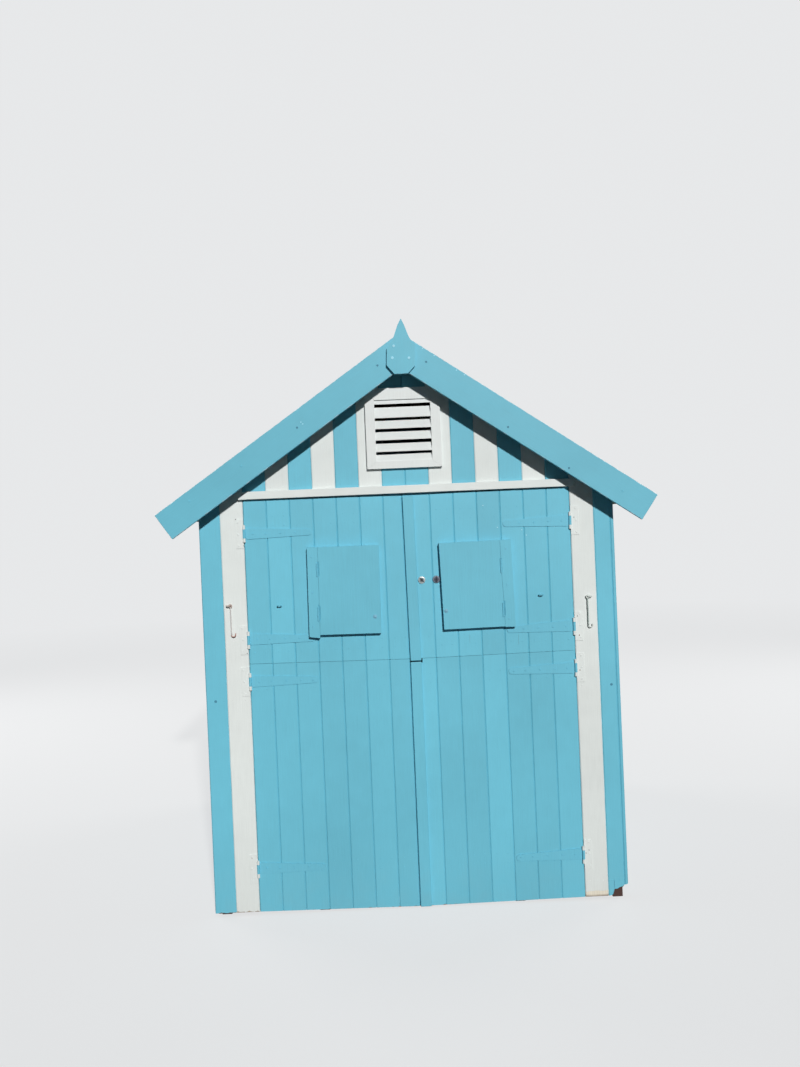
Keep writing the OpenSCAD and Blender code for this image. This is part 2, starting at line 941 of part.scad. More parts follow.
// Cabin hook at x, its tip turned up to the right, in a screw eye at z on the side away from the door
module cabin_hook(x, z, side) {
    ring_z = 2 * wire_r + link_gap - ring_r;
    foot = ring_z - ring_r - hook_len;
    screw_eye(x + side * eye_r, z);
    translate([x, front_y - eye_r - wire_r, z]) {
        translate([0, 0, ring_z])
            rotate([90, 0, 0])
                wire_ring(ring_r);
        translate([0, 0, foot])
            cylinder(r = wire_r, h = hook_len);
        translate([hook_r, 0, foot])
            rotate([90, 0, 0])
                rotate([0, 0, 180])
                    rotate_extrude(angle = 180)
                        translate([hook_r, 0])
                            circle(r = wire_r, $fn = 16);
        translate([2 * hook_r, 0, foot])
            cylinder(r = wire_r, h = hook_tip);
    }
}

module cabin_hooks() {
    color(rust) {
        cabin_hook(-open_x - left_hook_x, eye_z + left_hook_up, -1);
        cabin_hook(open_x + right_hook_x, eye_z - right_hook_down, 1);
    }
}

module upper_left_door() { upper_leaf(-1); }
module upper_left_ledges() { ledges(-1, upper_ledges); }
module upper_left_straps() { straps(-1, upper_hinges); }
module upper_left_shutter() { mirror([1, 0, 0]) shutter_panel(left_stile_past, 0); }
module upper_left_fittings() { mirror([1, 0, 0]) leaf_fittings(0); }
module upper_right_door() { upper_leaf(1); }
module upper_right_ledges() { ledges(1, upper_ledges); }
module upper_right_straps() { straps(1, upper_hinges); }
module upper_right_shutter() { shutter_panel(right_stile_past, butt_shift); }
module upper_right_fittings() { leaf_fittings(butt_shift); }
module upper_right_strip() { cover_strip(upper_foot - strip_lap, door_top); }
module lower_left_door() { lower_leaf(-1); }
module lower_left_ledges() { ledges(-1, lower_ledges); }
module lower_left_straps() { straps(-1, lower_hinges); }
module lower_right_door() { lower_leaf(1); }
module lower_right_ledges() { ledges(1, lower_ledges); }
module lower_right_straps() { straps(1, lower_hinges); }
module lower_right_strip() { cover_strip(door_lift, lower_top - strip_lap); }

floor_bearers();
floor_boards();
posts();
door_stops();
door_head();
side_rails();
back_rails();
wall_studs();
end_rafters();
roof_timbers();
side_wall_left();
side_wall_right();
back_wall();
front_boards_blue();
front_boards_white();
cross_trim();
vent_frame();
vent_slats();
roof_deck_left();
roof_deck_right();
roof_felt();
barge_boards_front();
barge_boards_back();
finial();
hinge_plates();
cabin_hooks();
upper_left_door();
upper_left_ledges();
upper_left_straps();
upper_left_shutter();
upper_left_fittings();
upper_right_door();
upper_right_ledges();
upper_right_straps();
upper_right_shutter();
upper_right_fittings();
upper_right_strip();
lock_cylinders();
lower_left_door();
lower_left_ledges();
lower_left_straps();
lower_right_door();
lower_right_ledges();
lower_right_straps();
lower_right_strip();
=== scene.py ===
"""Looks of a beach hut with stable doors, built round its packed structure.

Metres, +Z up, the door front faces -Y. Most sizes are read from the frame's nodes, and the
others are named here in millimetres times MM.
"""

import logging
import math
import random
from collections.abc import Iterable, Sequence
from dataclasses import dataclass, field
from enum import Enum
from functools import cache

import bmesh
import bpy
from mathutils import Matrix, Vector, noise


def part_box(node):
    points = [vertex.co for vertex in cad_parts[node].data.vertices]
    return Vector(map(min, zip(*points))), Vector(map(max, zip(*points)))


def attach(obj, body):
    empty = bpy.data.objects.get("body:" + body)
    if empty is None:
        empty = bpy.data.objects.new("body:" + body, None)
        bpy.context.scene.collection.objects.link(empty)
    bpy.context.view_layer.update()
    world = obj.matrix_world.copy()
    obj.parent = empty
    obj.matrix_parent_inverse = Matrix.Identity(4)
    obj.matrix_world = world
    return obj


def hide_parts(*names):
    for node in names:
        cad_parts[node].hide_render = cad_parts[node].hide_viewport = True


MM = 0.001
LOG = logging.getLogger("beach_hut")
Colour = tuple[float, float, float, float]
Point = tuple[float, float]
Span = tuple[float, float]
Piece = bpy.types.Object
Socket = bpy.types.NodeSocket
Tree = bpy.types.NodeTree


def display(red: int, green: int, blue: int) -> Colour:
    """Return an 8-bit display colour as the linear colour that materials take."""
    parts = [value / 255 for value in (red, green, blue)]
    return (*[c / 12.92 if c <= 0.04045 else ((c + 0.055) / 1.055) ** 2.4 for c in parts], 1.0)


# Node trees


class Wiring:
    """Adds nodes to one node tree and links them as they are made."""

    def __init__(self, tree: Tree) -> None:
        """Keep the tree that the nodes go into."""
        self.tree = tree

    @classmethod
    def group(cls, name: str, kind: str, takes: dict[str, object],
              gives: dict[str, str]) -> tuple["Wiring", Sequence[Socket]]:
        """Start a node group.

        Args:
            name: The group's name.
            kind: Shader or Geometry.
            takes: Input name to its type, or to the default of a number.
            gives: Output name to its type.

        Returns:
            The group's wiring, and what its inputs give.
        """
        tree = bpy.data.node_groups.new(name, f"{kind}NodeTree")
        for label, value in takes.items():
            typed = isinstance(value, str)
            word = value if typed else type(value).__name__.capitalize()
            socket = tree.interface.new_socket(name=label, in_out="INPUT", socket_type=f"NodeSocket{word}")
            if not typed:
                socket.default_value = value
        for label, word in gives.items():
            tree.interface.new_socket(name=label, in_out="OUTPUT", socket_type=f"NodeSocket{word}")
        w = cls(tree)
        return w, w.add("NodeGroupInput").outputs

    @classmethod
    def emptied(cls, owner: bpy.types.ID) -> "Wiring":
        """Give a material or a world an empty node tree."""
        owner.use_nodes = True
        owner.node_tree.nodes.clear()
        return cls(owner.node_tree)

    def add(self, kind: str, inputs: dict | None = None, **settings: object) -> bpy.types.Node:
        """Add a node.

        Args:
            kind: Blender's name for the node type.
            inputs: Socket name or number to a value, or to the socket that is linked into it.
            settings: Properties of the node.

        Returns:
            The new node.
        """
        node = self.tree.nodes.new(kind)
        for key, value in settings.items():
            setattr(node, key, value)
        for key, value in (inputs or {}).items():
            if isinstance(value, Socket):
                self.tree.links.new(value, node.inputs[key])
            else:
                node.inputs[key].default_value = value
        return node

    def gives(self, outputs: dict[object, object]) -> Tree:
        """Link the group's outputs, and return its tree."""
        self.add("NodeGroupOutput", outputs)
        return self.tree

    def math(self, operation: str, *values: object) -> Socket:
        """Return the result of one scalar operation."""
        return self.add("ShaderNodeMath", dict(enumerate(values)), operation=operation).outputs[0]

    def times(self, a: object, b: object) -> Socket:
        """Return a times b."""
        return self.math("MULTIPLY", a, b)

    def plus(self, a: object, b: object) -> Socket:
        """Return a plus b."""
        return self.math("ADD", a, b)

    def minus(self, a: object, b: object) -> Socket:
        """Return a minus b."""
        return self.math("SUBTRACT", a, b)

    def fused(self, a: object, b: object, c: object) -> Socket:
        """Return a times b, plus c."""
        return self.math("MULTIPLY_ADD", a, b, c)

    def varied(self, value: object, grain: Socket, amount: float) -> Socket:
        """Return value plus amount times how far grain is from its middle."""
        return self.fused(self.minus(grain, 0.5), amount, value)

    def clamped(self, value: object, low: float, high: float) -> Socket:
        """Return value spread from low..high to 0..1 and cut off there."""
        return self.add("ShaderNodeMapRange", {0: value, 1: low, 2: high}, clamp=True).outputs[0]

    def vector(self, operation: str, *values: object) -> Socket:
        """Return the result of one vector operation."""
        return self.add("ShaderNodeVectorMath", dict(enumerate(values)), operation=operation).outputs[0]

    def scaled(self, vector: object, factor: object) -> Socket:
        """Return a vector or colour times a number."""
        return self.add("ShaderNodeVectorMath", {0: vector, 3: factor}, operation="SCALE").outputs[0]

    def xyz(self, x: object, y: object, z: object) -> Socket:
        """Return a vector made of three numbers."""
        return self.add("ShaderNodeCombineXYZ", {0: x, 1: y, 2: z}).outputs[0]

    def split(self, vector: object) -> bpy.types.NodeOutputs:
        """Return the three numbers of a vector."""
        return self.add("ShaderNodeSeparateXYZ", {0: vector}).outputs

    def noise(self, vector: object, scale: float, detail: float = 2.0) -> Socket:
        """Return smooth noise between 0 and 1."""
        return self.add("ShaderNodeTexNoise", {"Vector": vector, "Scale": scale, "Detail": detail}).outputs[0]

    def blend(self, factor: object, a: object, b: object) -> Socket:
        """Return colour a where factor is 0 and b where it is 1."""
        return self.add("ShaderNodeMix", {0: factor, 6: a, 7: b}, data_type="RGBA").outputs[2]

    def lerp(self, factor: object, a: object, b: object) -> Socket:
        """Return number a where factor is 0 and b where it is 1."""
        return self.add("ShaderNodeMix", {0: factor, 2: a, 3: b}, data_type="FLOAT").outputs[0]

    def lerp_vector(self, factor: object, a: object, b: object) -> Socket:
        """Return vector a where factor is 0 and b where it is 1."""
        return self.add("ShaderNodeMix", {0: factor, 4: a, 5: b}, data_type="VECTOR").outputs[1]

    def attribute(self, name: str, kind: str = "FLOAT_VECTOR") -> Socket:
        """Return a named attribute in a geometry tree."""
        return self.add("GeometryNodeInputNamedAttribute", {"Name": name}, data_type=kind).outputs[0]

    def store(self, geometry: Socket, name: str, value: Socket, domain: str) -> Socket:
        """Return geometry with a vector stored under a name."""
        inputs = {"Geometry": geometry, "Name": name, "Value": value}
        settings = {"data_type": "FLOAT_VECTOR", "domain": domain}
        return self.add("GeometryNodeStoreNamedAttribute", inputs, **settings).outputs[0]

    def moved(self, geometry: Socket, **how: Socket) -> Socket:
        """Return geometry with its points at Position, or moved by Offset."""
        return self.add("GeometryNodeSetPosition", {"Geometry": geometry, **how}).outputs[0]

    def real(self, instances: Socket) -> Socket:
        """Return instances as real geometry."""
        return self.add("GeometryNodeRealizeInstances", {0: instances}).outputs[0]

    def dressed(self, geometry: Socket, names: Iterable[str], material: Socket) -> Tree:
        """Put geometry out of the group.

        Args:
            geometry: What the group has made.
            names: Attributes that it drops.
            material: The material that it sets.

        Returns:
            The group's tree.
        """
        for name in names:
            inputs = {"Geometry": geometry, "Name": name}
            geometry = self.add("GeometryNodeRemoveAttribute", inputs).outputs[0]
        done = self.add("GeometryNodeSetMaterial", {"Geometry": geometry, "Material": material})
        return self.gives({0: done.outputs[0]})


# Shader groups

MUD = display(120, 112, 96)
ROTTEN = display(96, 70, 54)
# Painted highlight on rubbed paint: the pale colour that rounded paint edges turn.
RUBBED_AND_HIGHLIT = display(214, 230, 234)
# Painted shade: the dark brown that bare timber takes near the ground.
FOOT_SHADE = display(74, 54, 50)
RUST_DARK = display(74, 44, 34)
RUST_PALE = display(150, 88, 58)
SPLASH_TOP = 340 * MM
RAGGEDNESS = 20 * MM
ROT_SPAN = (30 * MM, 20 * MM)
FOOT_SHADE_SPAN = (85 * MM, 60 * MM)


@cache
def streaks_group() -> Tree:
    """Streaks along Z, as brushes and fibres leave them, with a broad drift beside them."""
    w, given = Wiring.group("streaks", "Shader", {"Vector": "Vector", "Across": 400.0, "Along": 9.0},
                            {"Fine": "Float", "Broad": "Float"})
    stretch = w.xyz(given["Across"], given["Across"], given["Along"])
    fine = w.noise(w.vector("MULTIPLY", given["Vector"], stretch), 1.0, 4.0)
    return w.gives({"Fine": fine, "Broad": w.noise(given["Vector"], 1.7, 1.0)})


@cache
def paint_group() -> Tree:
    """Brushed paint: it drifts in tone, is splashed near the ground, bare at the foot, and pale at rounded
    edges with rubbed paint and painted highlight.
    """
    w, given = Wiring.group(
        "weathered_paint", "Shader",
        {"Vector": "Vector", "Height": "Float", "Paint": "Color", "Bare": "Color", "Tone": "Float",
         "Tone strength": 0.05, "Bare height": "Float", "Splash": 0.3, "Worn": "Float", "Wear": "Float"},
        {"Color": "Color", "Roughness": "Float", "Relief": "Float"})
    place, height, foot = given["Vector"], given["Height"], given["Bare height"]
    fine, broad = w.add("ShaderNodeGroup", {"Vector": place}, node_tree=streaks_group()).outputs
    mottle = w.noise(place, 14.0, 3.0)
    value = w.fused(given["Tone"], given["Tone strength"], 1.0)
    for grain, amount in ((fine, 0.16), (broad, 0.22), (mottle, 0.10)):
        value = w.varied(value, grain, amount)
    splash = w.times(w.clamped(height, SPLASH_TOP, 0.0), w.clamped(mottle, 0.35, 0.75))
    skin = w.blend(w.times(splash, given["Splash"]), w.scaled(given["Paint"], value), MUD)
    ragged = w.varied(foot, w.noise(place, 55.0, 3.0), RAGGEDNESS)
    bare = w.clamped(w.minus(ragged, height), 0.0, 1.5 * MM)
    bare = w.times(bare, w.math("GREATER_THAN", foot, 0.5 * MM))
    rot = w.clamped(w.fused(mottle, 12 * MM, height), *ROT_SPAN)
    wood = w.blend(w.times(rot, 0.75), w.scaled(given["Bare"], w.fused(fine, 0.6, 0.65)), ROTTEN)
    # Painted highlight and rubbed paint: rounded edges turn pale, as much as the finish asks.
    rubbed_and_highlit = w.times(given["Worn"], w.clamped(w.noise(place, 38.0, 3.0), 0.46, 0.60))
    skin = w.blend(w.times(rubbed_and_highlit, given["Wear"]), skin, RUBBED_AND_HIGHLIT)
    return w.gives({"Color": w.blend(bare, skin, wood),
                    "Roughness": w.lerp(bare, w.fused(fine, 0.22, 0.40), 0.85),
                    "Relief": w.fused(bare, -0.6, w.fused(mottle, 0.35, fine))})


@cache
def timber_group() -> Tree:
    """Sawn softwood with its grain along Z and a few knots, darkened near the ground by painted shade."""
    w, given = Wiring.group(
        "sawn_timber", "Shader",
        {"Vector": "Vector", "Early wood": "Color", "Late wood": "Color", "Tone": "Float", "Height": "Float"},
        {"Color": "Color", "Relief": "Float"})
    place = given["Vector"]
    fine, broad = w.add("ShaderNodeGroup", {"Vector": place, "Across": 650.0, "Along": 14.0},
                        node_tree=streaks_group()).outputs
    rings = w.add("ShaderNodeTexWave", {
        "Vector": w.vector("MULTIPLY", place, (1.0, 1.0, 0.07)), "Scale": 22.0, "Distortion": 7.0,
        "Detail": 2.0, "Detail Scale": 1.2}).outputs[1]
    late = w.varied(w.times(w.clamped(rings, 0.45, 1.0), 0.65), fine, 0.7)
    knot_at = w.vector("MULTIPLY", place, (11.0, 11.0, 2.6))
    knots = w.add("ShaderNodeTexVoronoi", {"Vector": knot_at, "Scale": 1.0}).outputs["Distance"]
    late = w.math("MAXIMUM", late, w.clamped(knots, 0.10, 0.04))
    value = w.fused(given["Tone"], 0.12, w.fused(broad, 0.3, 0.85))
    colour = w.scaled(w.blend(late, given["Early wood"], given["Late wood"]), value)
    # Painted shade: the timber darkens towards the ground.
    foot_shade = w.clamped(w.fused(broad, 30 * MM, given["Height"]), *FOOT_SHADE_SPAN)
    colour = w.blend(foot_shade, colour, w.scaled(FOOT_SHADE[:3], value))
    return w.gives({"Color": colour, "Relief": w.fused(late, 0.5, fine)})


@cache
def rust_group() -> Tree:
    """Mask and colour of rust that creeps through a skin, more of it the higher Amount is."""
    w, given = Wiring.group("rust", "Shader", {"Vector": "Vector", "Amount": 0.3},
                            {"Color": "Color", "Mask": "Float"})
    grit = w.noise(given["Vector"], 900.0)
    creep = w.fused(grit, 0.12, w.noise(given["Vector"], 90.0, 4.0))
    edge = w.minus(0.86, w.times(given["Amount"], 0.7))
    return w.gives({"Color": w.blend(grit, RUST_DARK, RUST_PALE),
                    "Mask": w.clamped(w.minus(creep, edge), -0.03, 0.05)})


@cache
def granules_group() -> Tree:
    """Mineral granules of roofing felt, bleached in patches."""
    w, given = Wiring.group("granules", "Shader", {"Vector": "Vector", "Dark": "Color", "Pale": "Color"},
                            {"Color": "Color", "Relief": "Float"})
    grain = w.add("ShaderNodeTexVoronoi", {"Vector": given["Vector"], "Scale": 420.0}).outputs
    patch = w.clamped(w.noise(given["Vector"], 3.5, 5.0), 0.35, 0.7)
    fade = w.fused(patch, 0.55, w.times(w.split(grain["Color"])[0], 0.45))
    return w.gives({"Color": w.blend(fade, given["Dark"], given["Pale"]),
                    "Relief": w.minus(1.0, grain["Distance"])})


# Finishes


class Run(Enum):
    """Which way the grain or the brush runs."""

    UP = "up"
    ACROSS = "across"
    ALONG = "along"
    SLOPE = "slope"


@dataclass(frozen=True)
class Finish:
    """What every finish has: a name, and the way its streaks run."""

    name: str
    run: Run = Run.UP

    def material(self) -> bpy.types.Material:
        """Return the material, which is made once."""
        made = bpy.data.materials.get(self.name)
        if made is None:
            made = bpy.data.materials.new(self.name)
            w = Wiring.emptied(made)
            shader = w.add("ShaderNodeBsdfPrincipled", self.inputs(w))
            w.add("ShaderNodeOutputMaterial", {"Surface": shader.outputs[0]})
        return made

    def inputs(self, w: Wiring) -> dict[str, object]:
        """Return what goes into the shader."""
        raise NotImplementedError

    def coordinates(self, w: Wiring) -> tuple[Socket, Socket]:
        """Find where the shaded point is.

        Args:
            w: The material's wiring.

        Returns:
            The position with the streaks' direction turned to Z, and the height.
        """
        place = w.add("ShaderNodeTexCoord").outputs["Object"]
        x, y, z = w.split(place)
        if self.run is Run.ACROSS:
            place = w.xyz(z, y, x)
        elif self.run is Run.ALONG:
            place = w.xyz(x, z, y)
        elif self.run is Run.SLOPE:
            folded = w.xyz(w.math("ABSOLUTE", x), y, z)
            place = w.add("ShaderNodeVectorRotate", {"Vector": folded, "Angle": math.pi / 2 - ROOF_SLOPE},
                          rotation_type="Y_AXIS").outputs[0]
        return place, z

    def bump(self, w: Wiring, relief: Socket, depth: float) -> Socket:
        """Return a normal that relief, at its full depth in metres, has tilted."""
        return w.add("ShaderNodeBump", {"Height": relief, "Distance": depth, "Strength": 0.7}).outputs[0]

    def layer(self, w: Wiring, name: str) -> Socket:
        """Return a number that the mesh carries."""
        return w.add("ShaderNodeAttribute", attribute_name=name).outputs["Fac"]


@dataclass(frozen=True)
class Paint(Finish):
    """Brushed outdoor paint on wood."""

    colour: Colour = (0.5, 0.5, 0.5, 1.0)
    bare: Colour = (0.4, 0.25, 0.14, 1.0)
    tone_strength: float = 0.05
    splash: float = 0.1
    # How pale the rounded edges turn, with rubbed paint and painted highlight.
    wear: float = 0.0

    def inputs(self, w: Wiring) -> dict[str, object]:
        """Return what goes into the shader.

        Args:
            w: The material's wiring.

        Returns:
            Input name to its value or socket.
        """
        vector, height = self.coordinates(w)
        paint = w.add("ShaderNodeGroup", {
            "Vector": vector, "Height": height, "Paint": self.colour, "Bare": self.bare,
            "Tone": self.layer(w, "tone"), "Tone strength": self.tone_strength,
            "Bare height": self.layer(w, "bare"), "Splash": self.splash,
            "Worn": self.layer(w, "worn"), "Wear": self.wear,
        }, node_tree=paint_group()).outputs
        return {"Base Color": paint["Color"], "Roughness": paint["Roughness"], "Specular IOR Level": 0.35,
                "Normal": self.bump(w, paint["Relief"], 0.5 * MM)}


@dataclass(frozen=True)
class Timber(Finish):
    """Bare softwood."""

    early: Colour = (0.5, 0.5, 0.5, 1.0)
    late: Colour = (0.3, 0.3, 0.3, 1.0)

    def inputs(self, w: Wiring) -> dict[str, object]:
        """Return what goes into the shader.

        Args:
            w: The material's wiring.

        Returns:
            Input name to its value or socket.
        """
        vector, height = self.coordinates(w)
        wood = w.add("ShaderNodeGroup", {
            "Vector": vector, "Height": height, "Tone": self.layer(w, "tone"),
            "Early wood": self.early, "Late wood": self.late,
        }, node_tree=timber_group()).outputs
        return {"Base Color": wood["Color"], "Roughness": 0.78, "Specular IOR Level": 0.25,
                "Normal": self.bump(w, wood["Relief"], 0.4 * MM)}


@dataclass(frozen=True)
class Iron(Finish):
    """Iron with a painted or plated skin that rust breaks through."""

    skin: Colour = (0.5, 0.5, 0.5, 1.0)
    rust: float = 0.2
    metallic: float = 0.0
    roughness: float = 0.45

    def inputs(self, w: Wiring) -> dict[str, object]:
        """Return what goes into the shader.

        Args:
            w: The material's wiring.

        Returns:
            Input name to its value or socket.
        """
        vector = self.coordinates(w)[0]
        rust = w.add("ShaderNodeGroup", {"Vector": vector, "Amount": self.rust}, node_tree=rust_group())
        colour, mask = rust.outputs
        cloud = w.scaled(self.skin[:3], w.fused(w.noise(vector, 35.0, 3.0), 0.3, 0.85))
        return {"Base Color": w.blend(mask, cloud, colour), "Roughness": w.lerp(mask, self.roughness, 0.9),
                "Metallic": w.lerp(mask, self.metallic, 0.0),
                "Normal": self.bump(w, w.plus(mask, w.noise(vector, 300.0)), 0.3 * MM)}


@dataclass(frozen=True)
class Felt(Finish):
    """Mineral roofing felt."""

    dark: Colour = (0.03, 0.03, 0.03, 1.0)
    pale: Colour = (0.1, 0.1, 0.1, 1.0)

    def inputs(self, w: Wiring) -> dict[str, object]:
        """Return what goes into the shader.

        Args:
            w: The material's wiring.

        Returns:
            Input name to its value or socket.
        """
        vector = self.coordinates(w)[0]
        felt = w.add("ShaderNodeGroup", {"Vector": vector, "Dark": self.dark, "Pale": self.pale},
                     node_tree=granules_group()).outputs
        return {"Base Color": felt["Color"], "Roughness": 0.93,
                "Normal": self.bump(w, felt["Relief"], 0.8 * MM)}


BLUE_RGB = display(105, 187, 210)
WHITE_RGB = display(219, 225, 224)
PINE = display(196, 160, 112)
PINE_DARK = display(150, 106, 66)
CREAM = display(228, 221, 205)
SHABBY = display(120, 108, 100)
BLUE = Paint("blue_boards", colour=BLUE_RGB, bare=SHABBY)
BLUE_TRIM = Paint("blue_trim", colour=BLUE_RGB, splash=0.0)
# The barge boards' and the finial's rounded edges turn pale: rubbed paint with painted highlight.
BLUE_BARGE = Paint("blue_barge", Run.SLOPE, colour=display(102, 181, 203), splash=0.0, wear=0.6)
BLUE_BARGE_UP = Paint("blue_finial", colour=display(102, 182, 204), splash=0.0, wear=0.3)
BLUE_RIM = Paint("blue_strips", colour=display(104, 186, 209), splash=0.15)
BLUE_STRAP = Paint("strap_paint", colour=display(104, 186, 210), tone_strength=0.0)
WHITE = Paint("white_boards", colour=WHITE_RGB, bare=CREAM, tone_strength=0.02, splash=0.12)
WHITE_TRIM = Paint("white_trim", Run.ACROSS, colour=WHITE_RGB, splash=0.0)
WHITE_VENT = Paint("white_vent", colour=display(221, 226, 226), splash=0.0)
WHITE_PLATE = Paint("plate_paint", colour=WHITE_RGB, tone_strength=0.0, splash=0.12)
# Pale blue of the finial's screw heads and the barge's chips: paint lightened as a painted highlight.
PALE_HEAD = Paint("pale_heads", colour=display(160, 218, 236), splash=0.0)
# Darker blue: painted shade on screw heads; it also colours the split at the broken foot.
DARK_HEAD = Paint("dark_heads", colour=display(66, 130, 154), splash=0.0)
TIMBER_UP = Timber("timber_up", early=PINE, late=PINE_DARK)
TIMBER_ACROSS = Timber("timber_across", Run.ACROSS, early=PINE, late=PINE_DARK)
TIMBER_ALONG = Timber("timber_along", Run.ALONG, early=PINE, late=PINE_DARK)
TIMBER_SLOPE = Timber("timber_slope", Run.SLOPE, early=PINE, late=PINE_DARK)
FLOOR_TIMBER = Timber("floor_timber", Run.ACROSS, early=display(168, 138, 100), late=display(120, 90, 62))
BLUE_IRON = Iron("butt_paint", skin=display(102, 183, 207), rust=0.02)
HOOK_IRON = Iron("hook_iron", skin=display(206, 202, 200), rust=0.03)
HOOK_IRON_DULL = Iron("hook_iron_dull", skin=display(172, 186, 182), rust=0.04)
EYE_IRON_WARM = Iron("hook_eye_warm", skin=display(184, 166, 158), rust=0.12)
EYE_IRON_PALE = Iron("hook_eye_pale", skin=display(206, 212, 208), rust=0.04)
HOOK_TIP_WARM = Iron("hook_tip_warm", skin=display(186, 146, 136), rust=0.12)
EYE_IRON = Iron("eye_iron", skin=display(104, 180, 202), rust=0.06)
RUSTED = Iron("rusted_iron", skin=display(96, 62, 50), rust=0.75)
KNOB_IRON = Iron("knob_iron", skin=display(112, 172, 196), rust=0.0)
GALVANISED = Iron("galvanised", skin=display(150, 154, 156), rust=0.18, metallic=0.7)
CHROME = Iron("lock_bright", skin=display(196, 206, 206), rust=0.0, metallic=0.8, roughness=0.3)
# Painted reflection: the chrome lock's plug is dark, as the dark surroundings that it mirrors.
CHROME_PLUG_DARK_REFLECTION = Iron("plug_bright", skin=display(92, 104, 108), rust=0.0, metallic=0.6, roughness=0.4)
DARK_METAL = Iron("lock_dark", skin=display(112, 122, 136), rust=0.0, metallic=0.4, roughness=0.5)
# Painted shade: the dull lock's plug is darker than its rim, for the shade in its hole.
DULL_PLUG_SHADE = Iron("plug_dark", skin=display(54, 56, 72), rust=0.0, metallic=0.4, roughness=0.5)
# Painted shade: near-black keyholes.
KEYHOLE_SHADE = Iron("keyway", skin=display(26, 30, 38), rust=0.0, roughness=0.8)
DARK_MARK = Iron("dark_marks", skin=display(84, 92, 96), rust=0.3, roughness=0.8)
# Painted highlight: pale dots that stand for glints of light on nail heads and paint bumps.
GLINT_PAINT = Iron("pale_marks", skin=display(176, 222, 236), rust=0.0, roughness=0.5)
FELT = Felt("felt_granules", dark=display(44, 46, 48), pale=display(104, 106, 106))


# Sizes of the hut


@dataclass(frozen=True)
class Hut:
    """Driving sizes, read from the frame."""

    front: float
    back: float
    half_width: float
    inner: float
    ridge: float
    slope: float
    foot: float
    opening: float
    head: float

    @classmethod
    def read(cls) -> "Hut":
        """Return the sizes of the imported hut."""
        low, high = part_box("side_wall_right")
        blue_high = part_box("front_boards_blue")[1]
        head_low, head_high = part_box("door_head")
        rise = blue_high.z - high.z
        return cls(front=low.y, back=high.y, half_width=high.x, inner=blue_high.x, ridge=blue_high.z,
                   slope=math.atan2(rise, blue_high.x), foot=low.z, opening=head_high.x, head=head_low.z)

    @property
    def board(self) -> float:
        """Cover width of one board."""
        return self.opening / LEAF_BOARDS

    def roof_at(self, x: float) -> float:
        """Return the height of the underside of the roof at x."""
        return self.ridge - abs(x) * math.tan(self.slope)

    def on_slope(self, s: float, n: float, side: int) -> Vector:
        """Return the point s down one slope and n above its underside, at y = 0."""
        cos, sin = math.cos(self.slope), math.sin(self.slope)
        return Vector((side * (s * cos + n * sin), 0.0, self.ridge - s * sin + n * cos))


LEAF_BOARDS = 7
ROOF_SLOPE = math.radians(34.4)
SAG = math.radians(0.6)
BOARD_T = 16 * MM
JOINT_W = 8 * MM
JOINT_D = 3 * MM
SEAM = 0.15 * MM
ROW_STEP = 55 * MM


# Meshes


